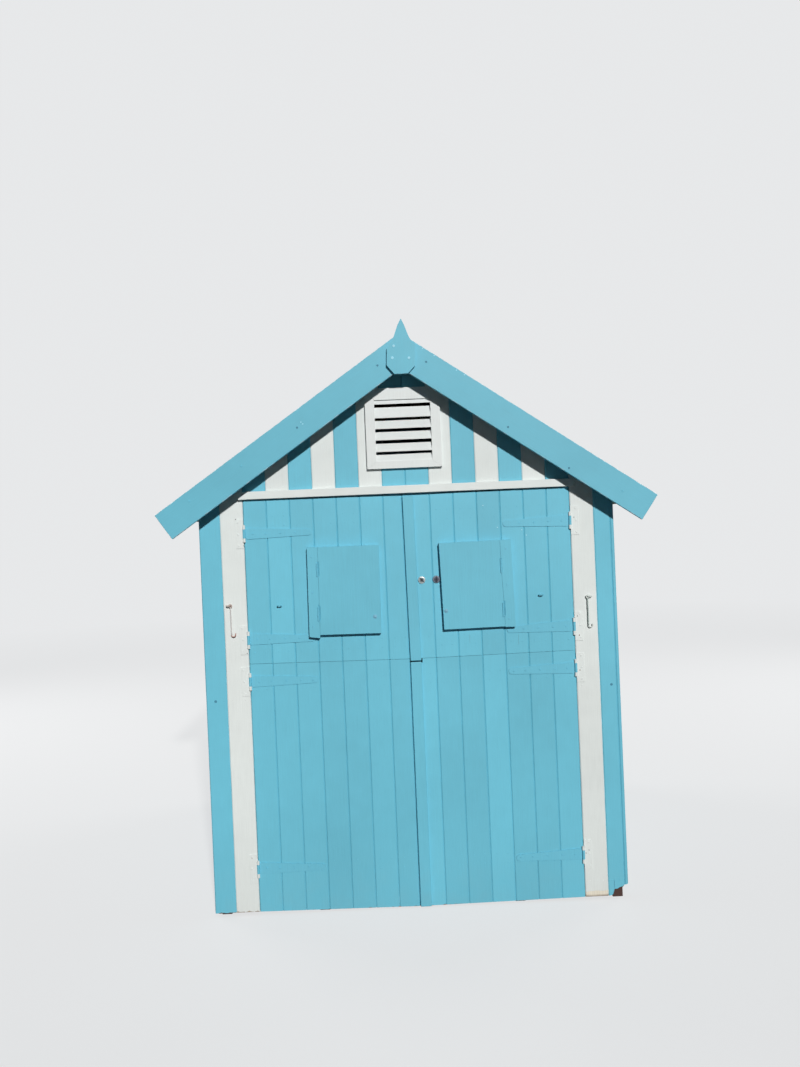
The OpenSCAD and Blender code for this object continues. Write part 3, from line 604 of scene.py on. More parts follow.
class Solid:
    """Closed shapes gathered into one mesh."""

    def __init__(self) -> None:
        """Start with nothing."""
        self.bm = bmesh.new()

    def mesh(self, name: str) -> bpy.types.Mesh:
        """Return the gathered shapes as a mesh, and let go of the working copy.

        Args:
            name: The mesh's name.

        Returns:
            The mesh.
        """
        made = bpy.data.meshes.new(name)
        bmesh.ops.recalc_face_normals(self.bm, faces=self.bm.faces)
        self.bm.to_mesh(made)
        self.bm.free()
        return made

    def object(self, name: str) -> Piece:
        """Return the gathered shapes as an object of the scene."""
        return linked(bpy.data.objects.new(name, self.mesh(name)))

    def ring(self, points: Iterable[Sequence[float]]) -> list[bmesh.types.BMVert]:
        """Add a row of points."""
        return [self.bm.verts.new(point) for point in points]

    def skin(self, rings: list[list[bmesh.types.BMVert]], closed: bool = False) -> "Solid":
        """Stretch faces from each ring to the next.

        Args:
            rings: Rows of as many points each.
            closed: Whether the last ring meets the first; otherwise both ends are capped.

        Returns:
            The same solid.
        """
        count = len(rings[0])
        for lower, upper in zip(rings, rings[1:] + rings[:1] if closed else rings[1:]):
            for k in range(count):
                n = (k + 1) % count
                self.bm.faces.new((lower[k], lower[n], upper[n], upper[k]))
        if not closed:
            self.bm.faces.new(rings[0][::-1])
            self.bm.faces.new(rings[-1])
        return self

    def box(self, low: Sequence[float], high: Sequence[float], place: Matrix = Matrix.Identity(4)) -> "Solid":
        """Add a box between two corners, which are given in the axes of place.

        Args:
            low: Its lowest corner.
            high: Its highest corner.
            place: Where it goes.

        Returns:
            The same solid.
        """
        low, high = Vector(low), Vector(high)
        local = Matrix.Translation((low + high) / 2) @ Matrix.Diagonal((*(high - low), 1.0))
        bmesh.ops.create_cube(self.bm, size=1.0, matrix=place @ local)
        return self

    def prism(self, outline: Sequence[Point], y0: float, y1: float) -> "Solid":
        """Add an outline drawn in x and z, extruded from y0 to y1."""
        near, far = [self.ring((x, y, z) for x, z in outline) for y in (y0, y1)]
        return self.skin([far, near])

    def lathe(self, profile: Sequence[Point], sides: int, place: Matrix = Matrix.Identity(4)) -> "Solid":
        """Add a turned shape.

        Args:
            profile: Radius and height from the bottom to the top; both ends are closed.
            sides: Facets round it.
            place: Where its base centre and its Z axis go.

        Returns:
            The same solid.
        """
        return self.skin([self.ring(place @ Vector((radius * math.cos(a), radius * math.sin(a), height))
                                    for a in circle(sides)) for radius, height in profile])

    def tube(self, path: Sequence[Vector], radii: Sequence[float], sides: int = 12,
             closed: bool = False) -> "Solid":
        """Add a round bar along a path.

        Args:
            path: The points of its middle line.
            radii: Its radius at each point.
            sides: Facets round it.
            closed: Whether it runs back into its start.

        Returns:
            The same solid.
        """
        count = len(path)
        rings = []
        side = None
        for i, point in enumerate(path):
            before = path[i - 1] if i or closed else point
            after = path[(i + 1) % count] if i + 1 < count or closed else point
            ahead = (after - before).normalized()
            side = ahead.orthogonal() if side is None else side - ahead * side.dot(ahead)
            side.normalize()
            up = ahead.cross(side)
            rings.append(self.ring(point + radii[i] * (side * math.cos(a) + up * math.sin(a))
                                   for a in circle(sides)))
        return self.skin(rings, closed)

    def copy_of(self, node: str) -> "Solid":
        """Add the solids of a node of the frame, with whole faces again.

        Args:
            node: The node's name.

        Returns:
            The same solid.
        """
        self.bm.from_mesh(bpy.data.objects[node].data)
        bmesh.ops.remove_doubles(self.bm, verts=self.bm.verts, dist=0.02 * MM)
        parts = {"verts": self.bm.verts, "edges": self.bm.edges}
        bmesh.ops.dissolve_limit(self.bm, angle_limit=math.radians(1), **parts)
        return self.shaded(False)

    def eased(self, width: float, steps: int = 2) -> "Solid":
        """Round the sharp edges, and note the rounded faces, where paint turns pale with rubbing and painted
        highlight.

        Args:
            width: How far the rounding reaches from an edge.
            steps: Facets across it.

        Returns:
            The same solid.
        """
        worn = self.bm.faces.layers.float.new("worn")
        sharp = [e for e in self.bm.edges if e.is_manifold and e.calc_face_angle(0.0) > math.radians(35)]
        rounded = bmesh.ops.bevel(self.bm, geom=sharp, offset=width, offset_type="OFFSET", segments=steps,
                                  profile=0.5, affect="EDGES", clamp_overlap=True)
        for face in rounded["faces"]:
            face[worn] = 1.0
        return self

    def shaded(self, smooth: bool = True) -> "Solid":
        """Shade every face smoothly, or flat."""
        for face in self.bm.faces:
            face.smooth = smooth
        return self


def circle(steps: int) -> list[float]:
    """Return the angles of even steps round a circle."""
    return [2 * math.pi * k / steps for k in range(steps)]


def linked(thing: Piece) -> Piece:
    """Put an object into the scene."""
    bpy.context.scene.collection.objects.link(thing)
    return thing


@dataclass(frozen=True)
class Place:
    """What a piece belongs to: its body, its slot in the record and the nodes that it stands for."""

    body: str
    slot: str
    nodes: tuple[str, ...] = ()

    def settle(self, piece: Piece, finish: Finish) -> Piece:
        """Dress a finished piece and hand it to its body.

        Args:
            piece: The object.
            finish: What it is made of.

        Returns:
            The same object.
        """
        piece.data.materials.clear()
        piece.data.materials.append(finish.material())
        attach(piece, self.body)
        if self.nodes:
            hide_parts(*self.nodes)
        LOG.info("%s: %d faces on %s", piece.name, len(piece.data.polygons), self.body)
        return piece


def baked(piece: Piece) -> Piece:
    """Turn a piece's modifiers into its own plain mesh.

    Args:
        piece: The object.

    Returns:
        The same object.
    """
    graph = bpy.context.evaluated_depsgraph_get()
    made = bpy.data.meshes.new_from_object(piece.evaluated_get(graph))
    piece.modifiers.clear()
    piece.data = made
    made.name = piece.name
    return piece


def carved(piece: Piece, solids: Iterable[Solid], operation: str = "DIFFERENCE") -> Piece:
    """Cut a piece with solids after its other modifiers, and bake it.

    Args:
        piece: The object.
        solids: What it is cut with.
        operation: Whether the solids are taken away, or INTERSECT for what is kept.

    Returns:
        The same object.
    """
    tools = [solid.object(f"{piece.name}_cutter_{i}") for i, solid in enumerate(solids)]
    for tool in tools:
        step = piece.modifiers.new("cut", "BOOLEAN")
        step.operation = operation
        step.solver = "EXACT"
        step.object = tool
    baked(piece)
    for tool in tools:
        bpy.data.objects.remove(tool)
    return piece


def reworked(node: str, name: str, body: str, slot: str, finish: Finish, ease: float,
             steps: int = 2) -> Piece:
    """Dress a node of the frame under a new name, with its edges rounded.

    Args:
        node: The node that the piece copies and replaces.
        name: The piece's name.
        body: The body that it rides on.
        slot: Its slot in the record.
        finish: What it is made of.
        ease: Width of the rounding.
        steps: Facets across the rounding.

    Returns:
        The dressed piece.
    """
    piece = Solid().copy_of(node).eased(ease, steps).object(name)
    return Place(body, slot, (node,)).settle(piece, finish)


def modify(piece: Piece, tree: bpy.types.NodeTree, values: dict[str, object]) -> None:
    """Put a geometry tree on a piece.

    Args:
        piece: The object.
        tree: The geometry tree.
        values: Input name to its value, set by the socket's identifier.
    """
    modifier = piece.modifiers.new(tree.name, "NODES")
    modifier.node_group = tree
    for item in tree.interface.items_tree:
        if item.item_type == "SOCKET" and item.in_out == "INPUT" and item.name in values:
            modifier[item.identifier] = values[item.name]


def points_object(name: str, count: int, vectors: dict[str, list], numbers: dict[str, list]) -> Piece:
    """Return an object that is only points with attributes.

    Args:
        name: The object's name.
        count: How many points it has.
        vectors: Attribute name to one vector a point; "position" places the points.
        numbers: Attribute name to one number a point.

    Returns:
        The object.
    """
    mesh = bpy.data.meshes.new(name)
    mesh.from_pydata(vectors.pop("position", [(0, 0, 0)] * count), [], [])
    for key, rows in vectors.items():
        data = mesh.attributes.new(key, "FLOAT_VECTOR", "POINT").data
        data.foreach_set("vector", [c for row in rows for c in row])
    for key, rows in numbers.items():
        mesh.attributes.new(key, "FLOAT", "POINT").data.foreach_set("value", rows)
    return linked(bpy.data.objects.new(name, mesh))


# Matchboards


class Plane(Enum):
    """Where boards go that are drawn with x across, y into the wall and z up."""

    FRONT = "front"
    BACK = "back"
    LEFT = "left"
    RIGHT = "right"
    FLOOR = "floor"
    ROOF_LEFT = "roof_left"
    ROOF_RIGHT = "roof_right"

    def matrix(self, hut: Hut) -> Matrix:
        """Return the placing of this plane on the hut.

        Args:
            hut: The hut's sizes.

        Returns:
            The matrix from the plane's axes to the hut's.
        """
        cos, sin = math.cos(hut.slope), math.sin(hut.slope)
        axes = {
            Plane.FRONT: ((1, 0, 0), (0, 1, 0), (0, 0, 1), (0, hut.front, 0)),
            Plane.BACK: ((-1, 0, 0), (0, -1, 0), (0, 0, 1), (0, hut.back, 0)),
            Plane.LEFT: ((0, -1, 0), (1, 0, 0), (0, 0, 1), (-hut.half_width, 0, 0)),
            Plane.RIGHT: ((0, 1, 0), (-1, 0, 0), (0, 0, 1), (hut.half_width, 0, 0)),
            Plane.FLOOR: ((0, -1, 0), (0, 0, -1), (1, 0, 0), (0, 0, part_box("floor_boards")[1].z)),
            Plane.ROOF_LEFT: ((-cos, 0, -sin), (-sin, 0, cos), (0, 1, 0), (0, 0, hut.ridge)),
            Plane.ROOF_RIGHT: ((cos, 0, -sin), (sin, 0, cos), (0, -1, 0), (0, 0, hut.ridge)),
        }[self]
        return Matrix([(*row, at) for row, at in zip(zip(*axes[:3]), axes[3])] + [(0, 0, 0, 1)])


@dataclass(frozen=True)
class Board:
    """One board: where its left and right edge start and end, and the height of its bare foot."""

    left: tuple[Point, Point]
    right: tuple[Point, Point]
    bare: float = 0.0

    @classmethod
    def upright(cls, across: Span, feet: Span, heads: Span, bare: float = 0.0) -> "Board":
        """Return a board with plumb edges.

        Args:
            across: Its left and right edge.
            feet: The height of its foot at either edge.
            heads: The height of its head at either edge.
            bare: How far up from the ground its paint is gone.
        """
        (a, b), (foot_a, foot_b), (head_a, head_b) = across, feet, heads
        return cls(((a, foot_a), (a, head_a)), ((b, foot_b), (b, head_b)), bare)


@cache
def matchboard_tree() -> Tree:
    """Boards with V joints between them, from points that carry the boards' corners."""
    w, given = Wiring.group(
        "matchboards", "Geometry",
        {"Boards": "Geometry", "Thickness": BOARD_T, "Joint width": JOINT_W, "Joint depth": JOINT_D,
         "Seam": SEAM, "Rows": 20, "Unevenness": 0.5 * MM, "Waviness": 1.2 * MM, "Seed": 1,
         "Material": "Material"}, {"Boards": "Geometry"})
    unit = w.add("GeometryNodeMeshCube", {"Vertices X": 5, "Vertices Y": 2, "Vertices Z": given["Rows"]})
    boards = w.add("GeometryNodeInstanceOnPoints", {"Points": given["Boards"], "Instance": unit.outputs[0]})
    x, y, z = w.split(w.add("GeometryNodeInputPosition").outputs[0])
    up = w.plus(z, 0.5)
    left, right = [w.lerp_vector(up, w.attribute(f"{edge}_foot"), w.attribute(f"{edge}_head"))
                   for edge in ("left", "right")]
    flat_x, _, flat_z = w.split(w.lerp_vector(w.clamped(x, -0.25, 0.25), left, right))
    outer = w.math("GREATER_THAN", w.math("ABSOLUTE", x), 0.375)
    inner = w.math("LESS_THAN", w.math("ABSOLUTE", x), 0.125)
    inset = w.times(w.lerp(outer, w.times(given["Joint width"], 0.5), given["Seam"]), w.minus(1.0, inner))
    inset = w.times(inset, w.times(w.math("SIGN", x), -1.0))
    behind = w.math("GREATER_THAN", y, 0.0)
    level = w.lerp(behind, w.times(outer, given["Joint depth"]), given["Thickness"])
    chance = w.xyz(w.times(w.attribute("tone", "FLOAT"), 37.0), given["Seed"], w.times(flat_z, 1.3))
    lift = w.times(w.minus(w.noise(chance, 1.0, 1.0), 0.5), given["Unevenness"])
    bend = w.xyz(w.times(flat_x, 9.0), given["Seed"], w.times(flat_z, 7.0))
    sway = w.times(w.minus(w.noise(bend, 1.0), 0.5), given["Waviness"])
    place = w.xyz(w.plus(flat_x, w.plus(inset, sway)), w.plus(level, w.times(lift, w.minus(1.0, behind))),
                  flat_z)
    return w.dressed(w.moved(w.real(boards.outputs[0]), Position=place),
                     ("left_foot", "left_head", "right_foot", "right_head"), given["Material"])


@dataclass
class Boarding:
    """A run of matchboards on one plane, cut where something passes through it."""

    name: str
    plane: Plane
    boards: list[Board]
    finish: Finish
    place: Place
    seed: int = 1
    waviness: float = 1.2 * MM
    cutters: list[Solid] = field(default_factory=list)

    def build(self, hut: Hut) -> Piece:
        """Build the boards.

        Args:
            hut: The hut's sizes.

        Returns:
            The dressed boards.
        """
        chance = random.Random(self.seed)
        corners = {f"{edge}_{end}": [(x, 0, z) for x, z in (getattr(b, edge)[k] for b in self.boards)]
                   for edge in ("left", "right") for k, end in enumerate(("foot", "head"))}
        numbers = {"tone": [chance.uniform(-1, 1) for _ in self.boards],
                   "bare": [b.bare for b in self.boards]}
        longest = max(b.left[1][1] - b.left[0][1] for b in self.boards)
        piece = points_object(self.name, len(self.boards), corners, numbers)
        modify(piece, matchboard_tree(), {"Rows": max(4, round(longest / ROW_STEP)), "Seed": self.seed,
                                          "Waviness": self.waviness, "Material": self.finish.material()})
        carved(piece, self.cutters).data.transform(self.plane.matrix(hut))
        return self.place.settle(piece, self.finish)


# Nails, screws and marks


class Head(Enum):
    """Shape of a small thing that is set on a surface, one unit in radius and in height."""

    NAIL = "nail"
    SCREW = "screw"
    CLOUT = "clout"
    FLAKE = "flake"

    def object(self) -> Piece:
        """Return the shape, which is made once and stays out of the scene."""
        name = f"head_{self.value}"
        made = bpy.data.objects.get(name)
        if made is None:
            made = bpy.data.objects.new(name, getattr(self, f"_{self.value}")().mesh(name))
        return made

    @staticmethod
    def _nail() -> Solid:
        """Domed head."""
        return Solid().lathe([(1.0, -0.5), (1.0, 0.3), (0.8, 0.8), (0.4, 1.0)], 10).shaded()

    @staticmethod
    def _clout() -> Solid:
        """Flat wide head."""
        return Solid().lathe([(1.0, -0.5), (1.0, 0.7), (0.9, 1.0)], 12)

    @staticmethod
    def _screw() -> Solid:
        """Head with a slot between two halves of its top."""
        solid = Solid().lathe([(1.0, -0.5), (1.0, 0.45)], 14)
        half_slot = math.asin(0.14)
        steps = 6
        for turn in (0.0, math.pi):
            angles = [turn + half_slot + (math.pi - 2 * half_slot) * k / steps for k in range(steps + 1)]
            solid.skin([solid.ring((r * math.cos(a), r * math.sin(a), h) for a in angles)
                        for r, h in ((1.0, 0.4), (0.85, 1.0))])
        return solid

    @staticmethod
    def _flake() -> Solid:
        """Thin chip with a ragged outline."""
        solid = Solid()
        turns = [(math.cos(a), math.sin(a)) for a in circle(13)]
        reaches = [0.8 + 0.35 * noise.noise(Vector((x * 1.7, y * 1.7, 3.1))) for x, y in turns]
        return solid.skin([
            solid.ring((share * r * x, share * r * y, height) for (x, y), r in zip(turns, reaches))
            for height, share in ((-0.5, 1.0), (1.0, 0.86))])


@dataclass(frozen=True)
class Spot:
    """Where one small thing sits: its point, the way it faces, and its two radii and height."""

    at: Vector
    facing: tuple[float, float, float]
    size: tuple[float, float, float]


@cache
def fixings_tree() -> Tree:
    """Heads turned to face the way that each point says, each with its own size and spin."""
    w, given = Wiring.group(
        "fixings", "Geometry",
        {"Spots": "Geometry", "Head": "Object", "Spin": math.pi, "Seed": 1, "Material": "Material"},
        {"Heads": "Geometry"})
    head = w.add("GeometryNodeObjectInfo", {"Object": given["Head"]})
    facing = w.add("FunctionNodeAlignRotationToVector", {"Vector": w.attribute("facing")}, axis="Z")
    chance = w.add("FunctionNodeRandomValue", {"Seed": given["Seed"]}, data_type="FLOAT").outputs[1]
    angle = w.times(chance, given["Spin"])
    spin = w.add("FunctionNodeAxisAngleToRotation", {"Axis": (0, 0, 1), "Angle": angle})
    turned = w.add("FunctionNodeRotateRotation", {0: facing.outputs[0], 1: spin.outputs[0]},
                   rotation_space="LOCAL")
    heads = w.add("GeometryNodeInstanceOnPoints", {
        "Points": given["Spots"], "Instance": head.outputs["Geometry"], "Rotation": turned.outputs[0],
        "Scale": w.attribute("size")})
    return w.dressed(w.real(heads.outputs[0]), ("facing", "size"), given["Material"])


@dataclass
class Fixings:
    """Small things of one kind on one body."""

    name: str
    head: Head
    spots: list[Spot]
    finish: Finish
    place: Place
    spin: float = math.pi

    def build(self) -> Piece:
        """Return the dressed heads."""
        rows = {
            "position": [tuple(s.at) for s in self.spots],
            "facing": [s.facing for s in self.spots],
            "size": [s.size for s in self.spots],
        }
        piece = points_object(self.name, len(self.spots), rows, {})
        modify(piece, fixings_tree(), {"Head": self.head.object(), "Spin": self.spin, "Seed": len(self.spots),
                                       "Material": self.finish.material()})
        return self.place.settle(baked(piece), self.finish)


FRONTWARDS = (0.0, -1.0, 0.0)
NAIL_SIZE = (2.6 * MM, 2.6 * MM, 0.6 * MM)
SCREW_SIZE = (4.6 * MM, 4.6 * MM, 1.4 * MM)


def front_spots(hut: Hut, places: Iterable[Point], size: tuple[float, float, float],
                proud: float = 0.0) -> list[Spot]:
    """Return spots on the front.

    Args:
        hut: The hut's sizes.
        places: x and z of each, in metres.
        size: Radii and height.
        proud: How far in front of the boards their ground lies.

    Returns:
        One spot a place.
    """
    return [Spot(Vector((x, hut.front - proud, z)), FRONTWARDS, size) for x, z in places]


def in_mm(*pairs: Point) -> list[Point]:
    """Return points given in millimetres in metres."""
    return [(x * MM, z * MM) for x, z in pairs]


def turned(radius: float, *pairs: Point) -> list[Point]:
    """Return a lathe's profile from shares of a radius and heights in millimetres."""
    return [(share * radius, height * MM) for share, height in pairs]


def leaf_name(side: int, upper: bool) -> str:
    """Start of the names of one leaf's nodes."""
    return f"{'upper' if upper else 'lower'}_{'right' if side > 0 else 'left'}"


# Sub-assemblies


@dataclass
class Walls:
    """The side walls and the back wall, nailed to their rails."""

    hut: Hut
    rail_half: float = 22 * MM
    middle_rail: float = 982 * MM
    eaves_rail_drop: float = 24 * MM
    back_nail_drop: float = 12 * MM

    def build(self) -> list[Piece]:
        """Build and dress the three walls and their nails."""
        hut = self.hut
        heads = (hut.roof_at(hut.half_width),) * 2
        feet = (hut.foot,) * 2
        count = math.ceil((hut.back - hut.front) / hut.board)
        edges = [hut.front + BOARD_T]
        edges += [min(hut.front + k * hut.board, hut.back) for k in range(1, count + 1)]
        spans = list(zip(edges, edges[1:]))
        left = [Board.upright((-b, -a), feet, heads, 2 * MM) for a, b in spans]
        right = [Board.upright(span, feet, heads, 2 * MM) for span in spans]
        right[0] = Board.upright(spans[0], (60 * MM, 11 * MM), heads, 14 * MM)
        walls = (("left", Plane.LEFT, left, "side_wall_left", 3),
                 ("right", Plane.RIGHT, right, "side_wall_right", 4),
                 ("back", Plane.BACK, self._back_boards(), "back_wall", 5))
        pieces = [Boarding(f"{word}_wall_boards", plane, boards, BLUE, Place("hut", "blue_paint", (node,)),
                           seed=seed).build(hut) for word, plane, boards, node, seed in walls]
        nails = Fixings("wall_nails", Head.NAIL, self._nails(edges), BLUE_TRIM, Place("hut", "blue_paint"))
        return [*pieces, nails.build()]

    def _back_boards(self) -> list[Board]:
        """Return the boards of the back wall, cut to the roof's slopes."""
        hut = self.hut
        half = [k * hut.board for k in range(LEAF_BOARDS + 2)] + [hut.inner]
        edges = [-x for x in half[::-1]] + half[1:]
        return [Board.upright((a, b), (hut.foot, hut.foot), (hut.roof_at(a), hut.roof_at(b)), bare=2 * MM)
                for a, b in zip(edges, edges[1:])]

    def _nails(self, edges: list[float]) -> list[Spot]:
        """Return a pair of nails in each board at each rail.

        Args:
            edges: The side boards' edges along the hut.

        Returns:
            One spot a nail.
        """
        hut = self.hut
        spots = []
        eaves_rail = hut.roof_at(hut.half_width) - self.eaves_rail_drop
        rails = [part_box("back_rails")[0].z + self.rail_half, self.middle_rail, eaves_rail]
        for z in rails:
            for a, b in zip(edges, edges[1:]):
                for y in (a + 0.25 * (b - a), a + 0.75 * (b - a)):
                    for side in (-1, 1):
                        spots.append(Spot(Vector((side * hut.half_width, y, z)), (side, 0, 0), NAIL_SIZE))
            for k in range(-LEAF_BOARDS - 1, LEAF_BOARDS + 1):
                for share in (0.25, 0.75):
                    at = Vector(((k + share) * hut.board, hut.back, z - self.back_nail_drop))
                    spots.append(Spot(at, (0, 1, 0), NAIL_SIZE))
        return spots


@dataclass
class BrokenFoot:
    """The corner that has rotted off at the foot of the right front boards."""

    slope: tuple[Point, ...] = ((-2, 10), (19, 19), (27, 41), (50, 48), (96, 68))
    roughness: float = 4 * MM

    def cutter(self) -> Solid:
        """Return the cutter for boards on the front's plane."""
        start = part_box("front_boards_white")[1].x
        below = -20 * MM
        outline = [(start + self.slope[0][0] * MM, below), (start + self.slope[-1][0] * MM, below)]
        parts = 4
        top = []
        for (x0, z0), (x1, z1) in zip(self.slope, self.slope[1:]):
            for k in range(parts):
                x, z = x0 + (x1 - x0) * k / parts, z0 + (z1 - z0) * k / parts
                torn = self.roughness * noise.noise(Vector((x * 0.15, z * 0.1, 1.7)))
                top.append((start + x * MM, z * MM + torn))
        top.append((outline[1][0], self.slope[-1][1] * MM))
        return Solid().prism([*outline, *top[::-1]], below, BOARD_T - below)


@dataclass
class Front:
    """The striped gable, the boards beside the doors, and what is nailed to them."""

    hut: Hut
    left_corner: float = -926 * MM
    right_corner: float = 921 * MM
    corner_strip: float = 15 * MM
    foot: float = 13 * MM

    def build(self) -> list[Piece]:
        """Build and dress the front."""
        hut = self.hut
        blue, white = self._boards()
        place = Place("hut", "blue_paint", ("front_boards_blue",))
        pieces = [
            Boarding("front_blue_boards", Plane.FRONT, blue, BLUE, place, seed=7,
                     cutters=[BrokenFoot().cutter(), self._vent_opening()]).build(hut),
            Boarding("front_white_boards", Plane.FRONT, white, WHITE,
                     Place("hut", "white_paint", ("front_boards_white",)), seed=8, waviness=2.4 * MM,
                     cutters=[self._vent_opening()]).build(hut),
        ]
        pieces.append(self._trim())
        pieces.extend(self._nails())
        pieces.extend(self._marks())
        return pieces

    def _boards(self) -> tuple[list[Board], list[Board]]:
        """Return the blue and the white boards of the front; the outer ones lap over the side walls."""
        hut = self.hut
        seam = self.right_corner - self.corner_strip
        outer = {-1: [self.left_corner], 1: [seam, self.right_corner]}
        blue, white = [], []
        for side in (-1, 1):
            edges = [side * k * hut.board for k in range(LEAF_BOARDS + 2)] + outer[side]
            for k, pair in enumerate(zip(edges, edges[1:])):
                a, b = sorted(pair)
                heads = (hut.roof_at(a), hut.roof_at(b))
                foot = self.foot if k >= LEAF_BOARDS else hut.head
                if k == LEAF_BOARDS:
                    bare = self.foot + (25 * MM if side > 0 else 4 * MM)
                    white.append(Board.upright((a, b), (foot, foot), heads, bare))
                else:
                    (white if k % 2 and k < LEAF_BOARDS else blue).append(
                        Board.upright((a, b), (foot, foot), heads, foot + 2 * MM if k > LEAF_BOARDS else 0.0))
        return blue, white

    def _vent_opening(self) -> Solid:
        """Return the cutter for the opening behind the vent, whose frame laps over its edges."""
        low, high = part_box("vent_frame")
        lap = 19 * MM
        past = 10 * MM
        return Solid().box((low.x + lap, -past, low.z + lap), (high.x - lap, BOARD_T + past, high.z - lap))

    def _trim(self) -> Piece:
        """Return the batten over the doors."""
        return reworked("cross_trim", "trim_batten", "hut", "white_paint", WHITE_TRIM, 2.5 * MM)

    def _nails(self) -> list[Piece]:
        """Return the nails of the trim, the white boards and the outer blue boards."""
        hut = self.hut
        trim_low, trim_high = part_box("cross_trim")
        middle = (trim_low.z + trim_high.z) / 2
        trim = [(x, middle) for x in [k * trim_high.x / 4.15 for k in range(-4, 5)]]
        white_x = [side * (hut.opening + share * hut.board) for side in (-1, 1) for share in (0.22, 0.78)]
        rails = [83 * MM, 200 * MM, 960 * MM, 1790 * MM]
        beside = [(x, z) for x in white_x for z in rails]
        outer = [(side * x * MM, z) for side in (-1, 1) for x in (848, 884) for z in rails]
        gable = [(side * (k + share) * hut.board, hut.head + 52 * MM)
                 for side in (-1, 1) for k in range(2, LEAF_BOARDS) for share in (0.25, 0.75)]
        blue_gable = [p for p in gable if int(abs(p[0]) / hut.board) % 2 == 0]
        white_gable = [p for p in gable if int(abs(p[0]) / hut.board) % 2 == 1]
        white = front_spots(hut, beside + white_gable, NAIL_SIZE)
        white += front_spots(hut, trim, NAIL_SIZE, hut.front - trim_low.y)
        return [
            Fixings("white_nails", Head.NAIL, white, WHITE_TRIM, Place("hut", "white_paint")).build(),
            Fixings("blue_nails", Head.NAIL, front_spots(hut, outer + blue_gable, NAIL_SIZE), BLUE_TRIM,
                    Place("hut", "blue_paint")).build(),
        ]

    def _marks(self) -> list[Piece]:
        """Return the chips and rusty spots on the white boards, and dark heads on the outer boards."""
        hut = self.hut
        chips = in_mm((-761, 1764), (-730, 1645), (-735, 1166), (744, 1711), (742, 1270), (751, 222),
                      (737, 210))
        rusty = in_mm((-753, 255), (743, 1028), (747, 1184))
        dark = in_mm((-884, 958), (882, 958))
        small = (2.2 * MM, 4.0 * MM, 0.25 * MM)
        slot = [Spot(Vector((859 * MM, hut.front, 66 * MM)), FRONTWARDS, (1.6 * MM, 26 * MM, 0.25 * MM))]
        return [
            Fixings("paint_chips", Head.FLAKE, front_spots(hut, chips, small, 3 * MM), DARK_MARK,
                    Place("hut", "white_paint")).build(),
            Fixings("rusty_spots", Head.NAIL, front_spots(hut, rusty, (2.6 * MM, 2.6 * MM, 0.5 * MM), 3 * MM),
                    RUSTED, Place("hut", "rusty_iron")).build(),
            # Painted shade: the outer boards' screw heads are darker blue.
            Fixings("dark_heads", Head.SCREW, front_spots(hut, dark, (6 * MM, 6 * MM, 1 * MM)), DARK_HEAD,
                    Place("hut", "blue_paint")).build(),
            Fixings("foot_split", Head.FLAKE, slot, DARK_HEAD, Place("hut", "blue_paint"), spin=0.0).build(),
        ]


@cache
def louvre_tree() -> Tree:
    """Sloping slats one above the other, each a little out of line, the second one steeper and lower."""
    w, given = Wiring.group(
        "louvres", "Geometry",
        {"Ignored": "Geometry", "Count": 6, "Pitch": "Float", "Extra": "Float", "Width": "Float",
         "Depth": "Float", "Rise": "Float", "Thickness": "Float", "Top": "Vector", "Looseness": 1.2 * MM,
         "Seed": 2, "Material": "Material"}, {"Slats": "Geometry"})
    step = w.xyz(0.0, 0.0, w.times(given["Pitch"], -1.0))
    line = w.add("GeometryNodeMeshLine", {"Count": given["Count"], "Start Location": given["Top"],
                                          "Offset": step}, mode="OFFSET").outputs[0]
    index = w.add("GeometryNodeInputIndex").outputs[0]
    later = w.times(w.math("GREATER_THAN", index, 0.5), given["Extra"])
    second = w.times(w.math("COMPARE", index, 1.0, 0.1), given["Extra"])
    lowered = w.moved(line, Offset=w.xyz(0.0, 0.0, w.times(later, -1.0)))
    here = w.add("GeometryNodeInputPosition").outputs[0]
    _, here_y, here_z = w.split(here)
    unit = w.add("GeometryNodeMeshCube", {"Vertices X": 9, "Vertices Y": 6, "Vertices Z": 2}).outputs[0]
    slats = w.add("GeometryNodeInstanceOnPoints",
                  {"Points": lowered, "Instance": w.store(unit, "unit", here, "POINT")}).outputs[0]
    chance = w.add("FunctionNodeRandomValue", {"Min": (-1, -1, -1), "Max": (1, 1, 1), "Seed": given["Seed"]},
                   data_type="FLOAT_VECTOR").outputs[0]
    slats = w.store(slats, "loose", chance, "INSTANCE")
    slats = w.store(slats, "level", w.xyz(second, here_y, here_z), "INSTANCE")
    (x, y, z), (more_rise, row_y, row_z), (tilt, _, drop) = [
        w.split(w.attribute(name)) for name in ("unit", "level", "loose")]
    inward = w.plus(y, 0.5)
    nose = w.lerp(w.clamped(inward, 0.0, 0.2), 0.5, 1.0)
    high = w.plus(w.times(w.times(z, nose), given["Thickness"]), w.times(given["Thickness"], 0.5))
    high = w.plus(high, w.times(inward, w.plus(given["Rise"], more_rise)))
    slack = w.times(w.plus(w.times(tilt, x), drop), given["Looseness"])
    place = w.xyz(w.times(x, given["Width"]), w.plus(row_y, w.times(inward, given["Depth"])),
                  w.plus(row_z, w.plus(high, slack)))
    return w.dressed(w.moved(w.real(slats), Position=place), ("unit", "loose", "level"), given["Material"])


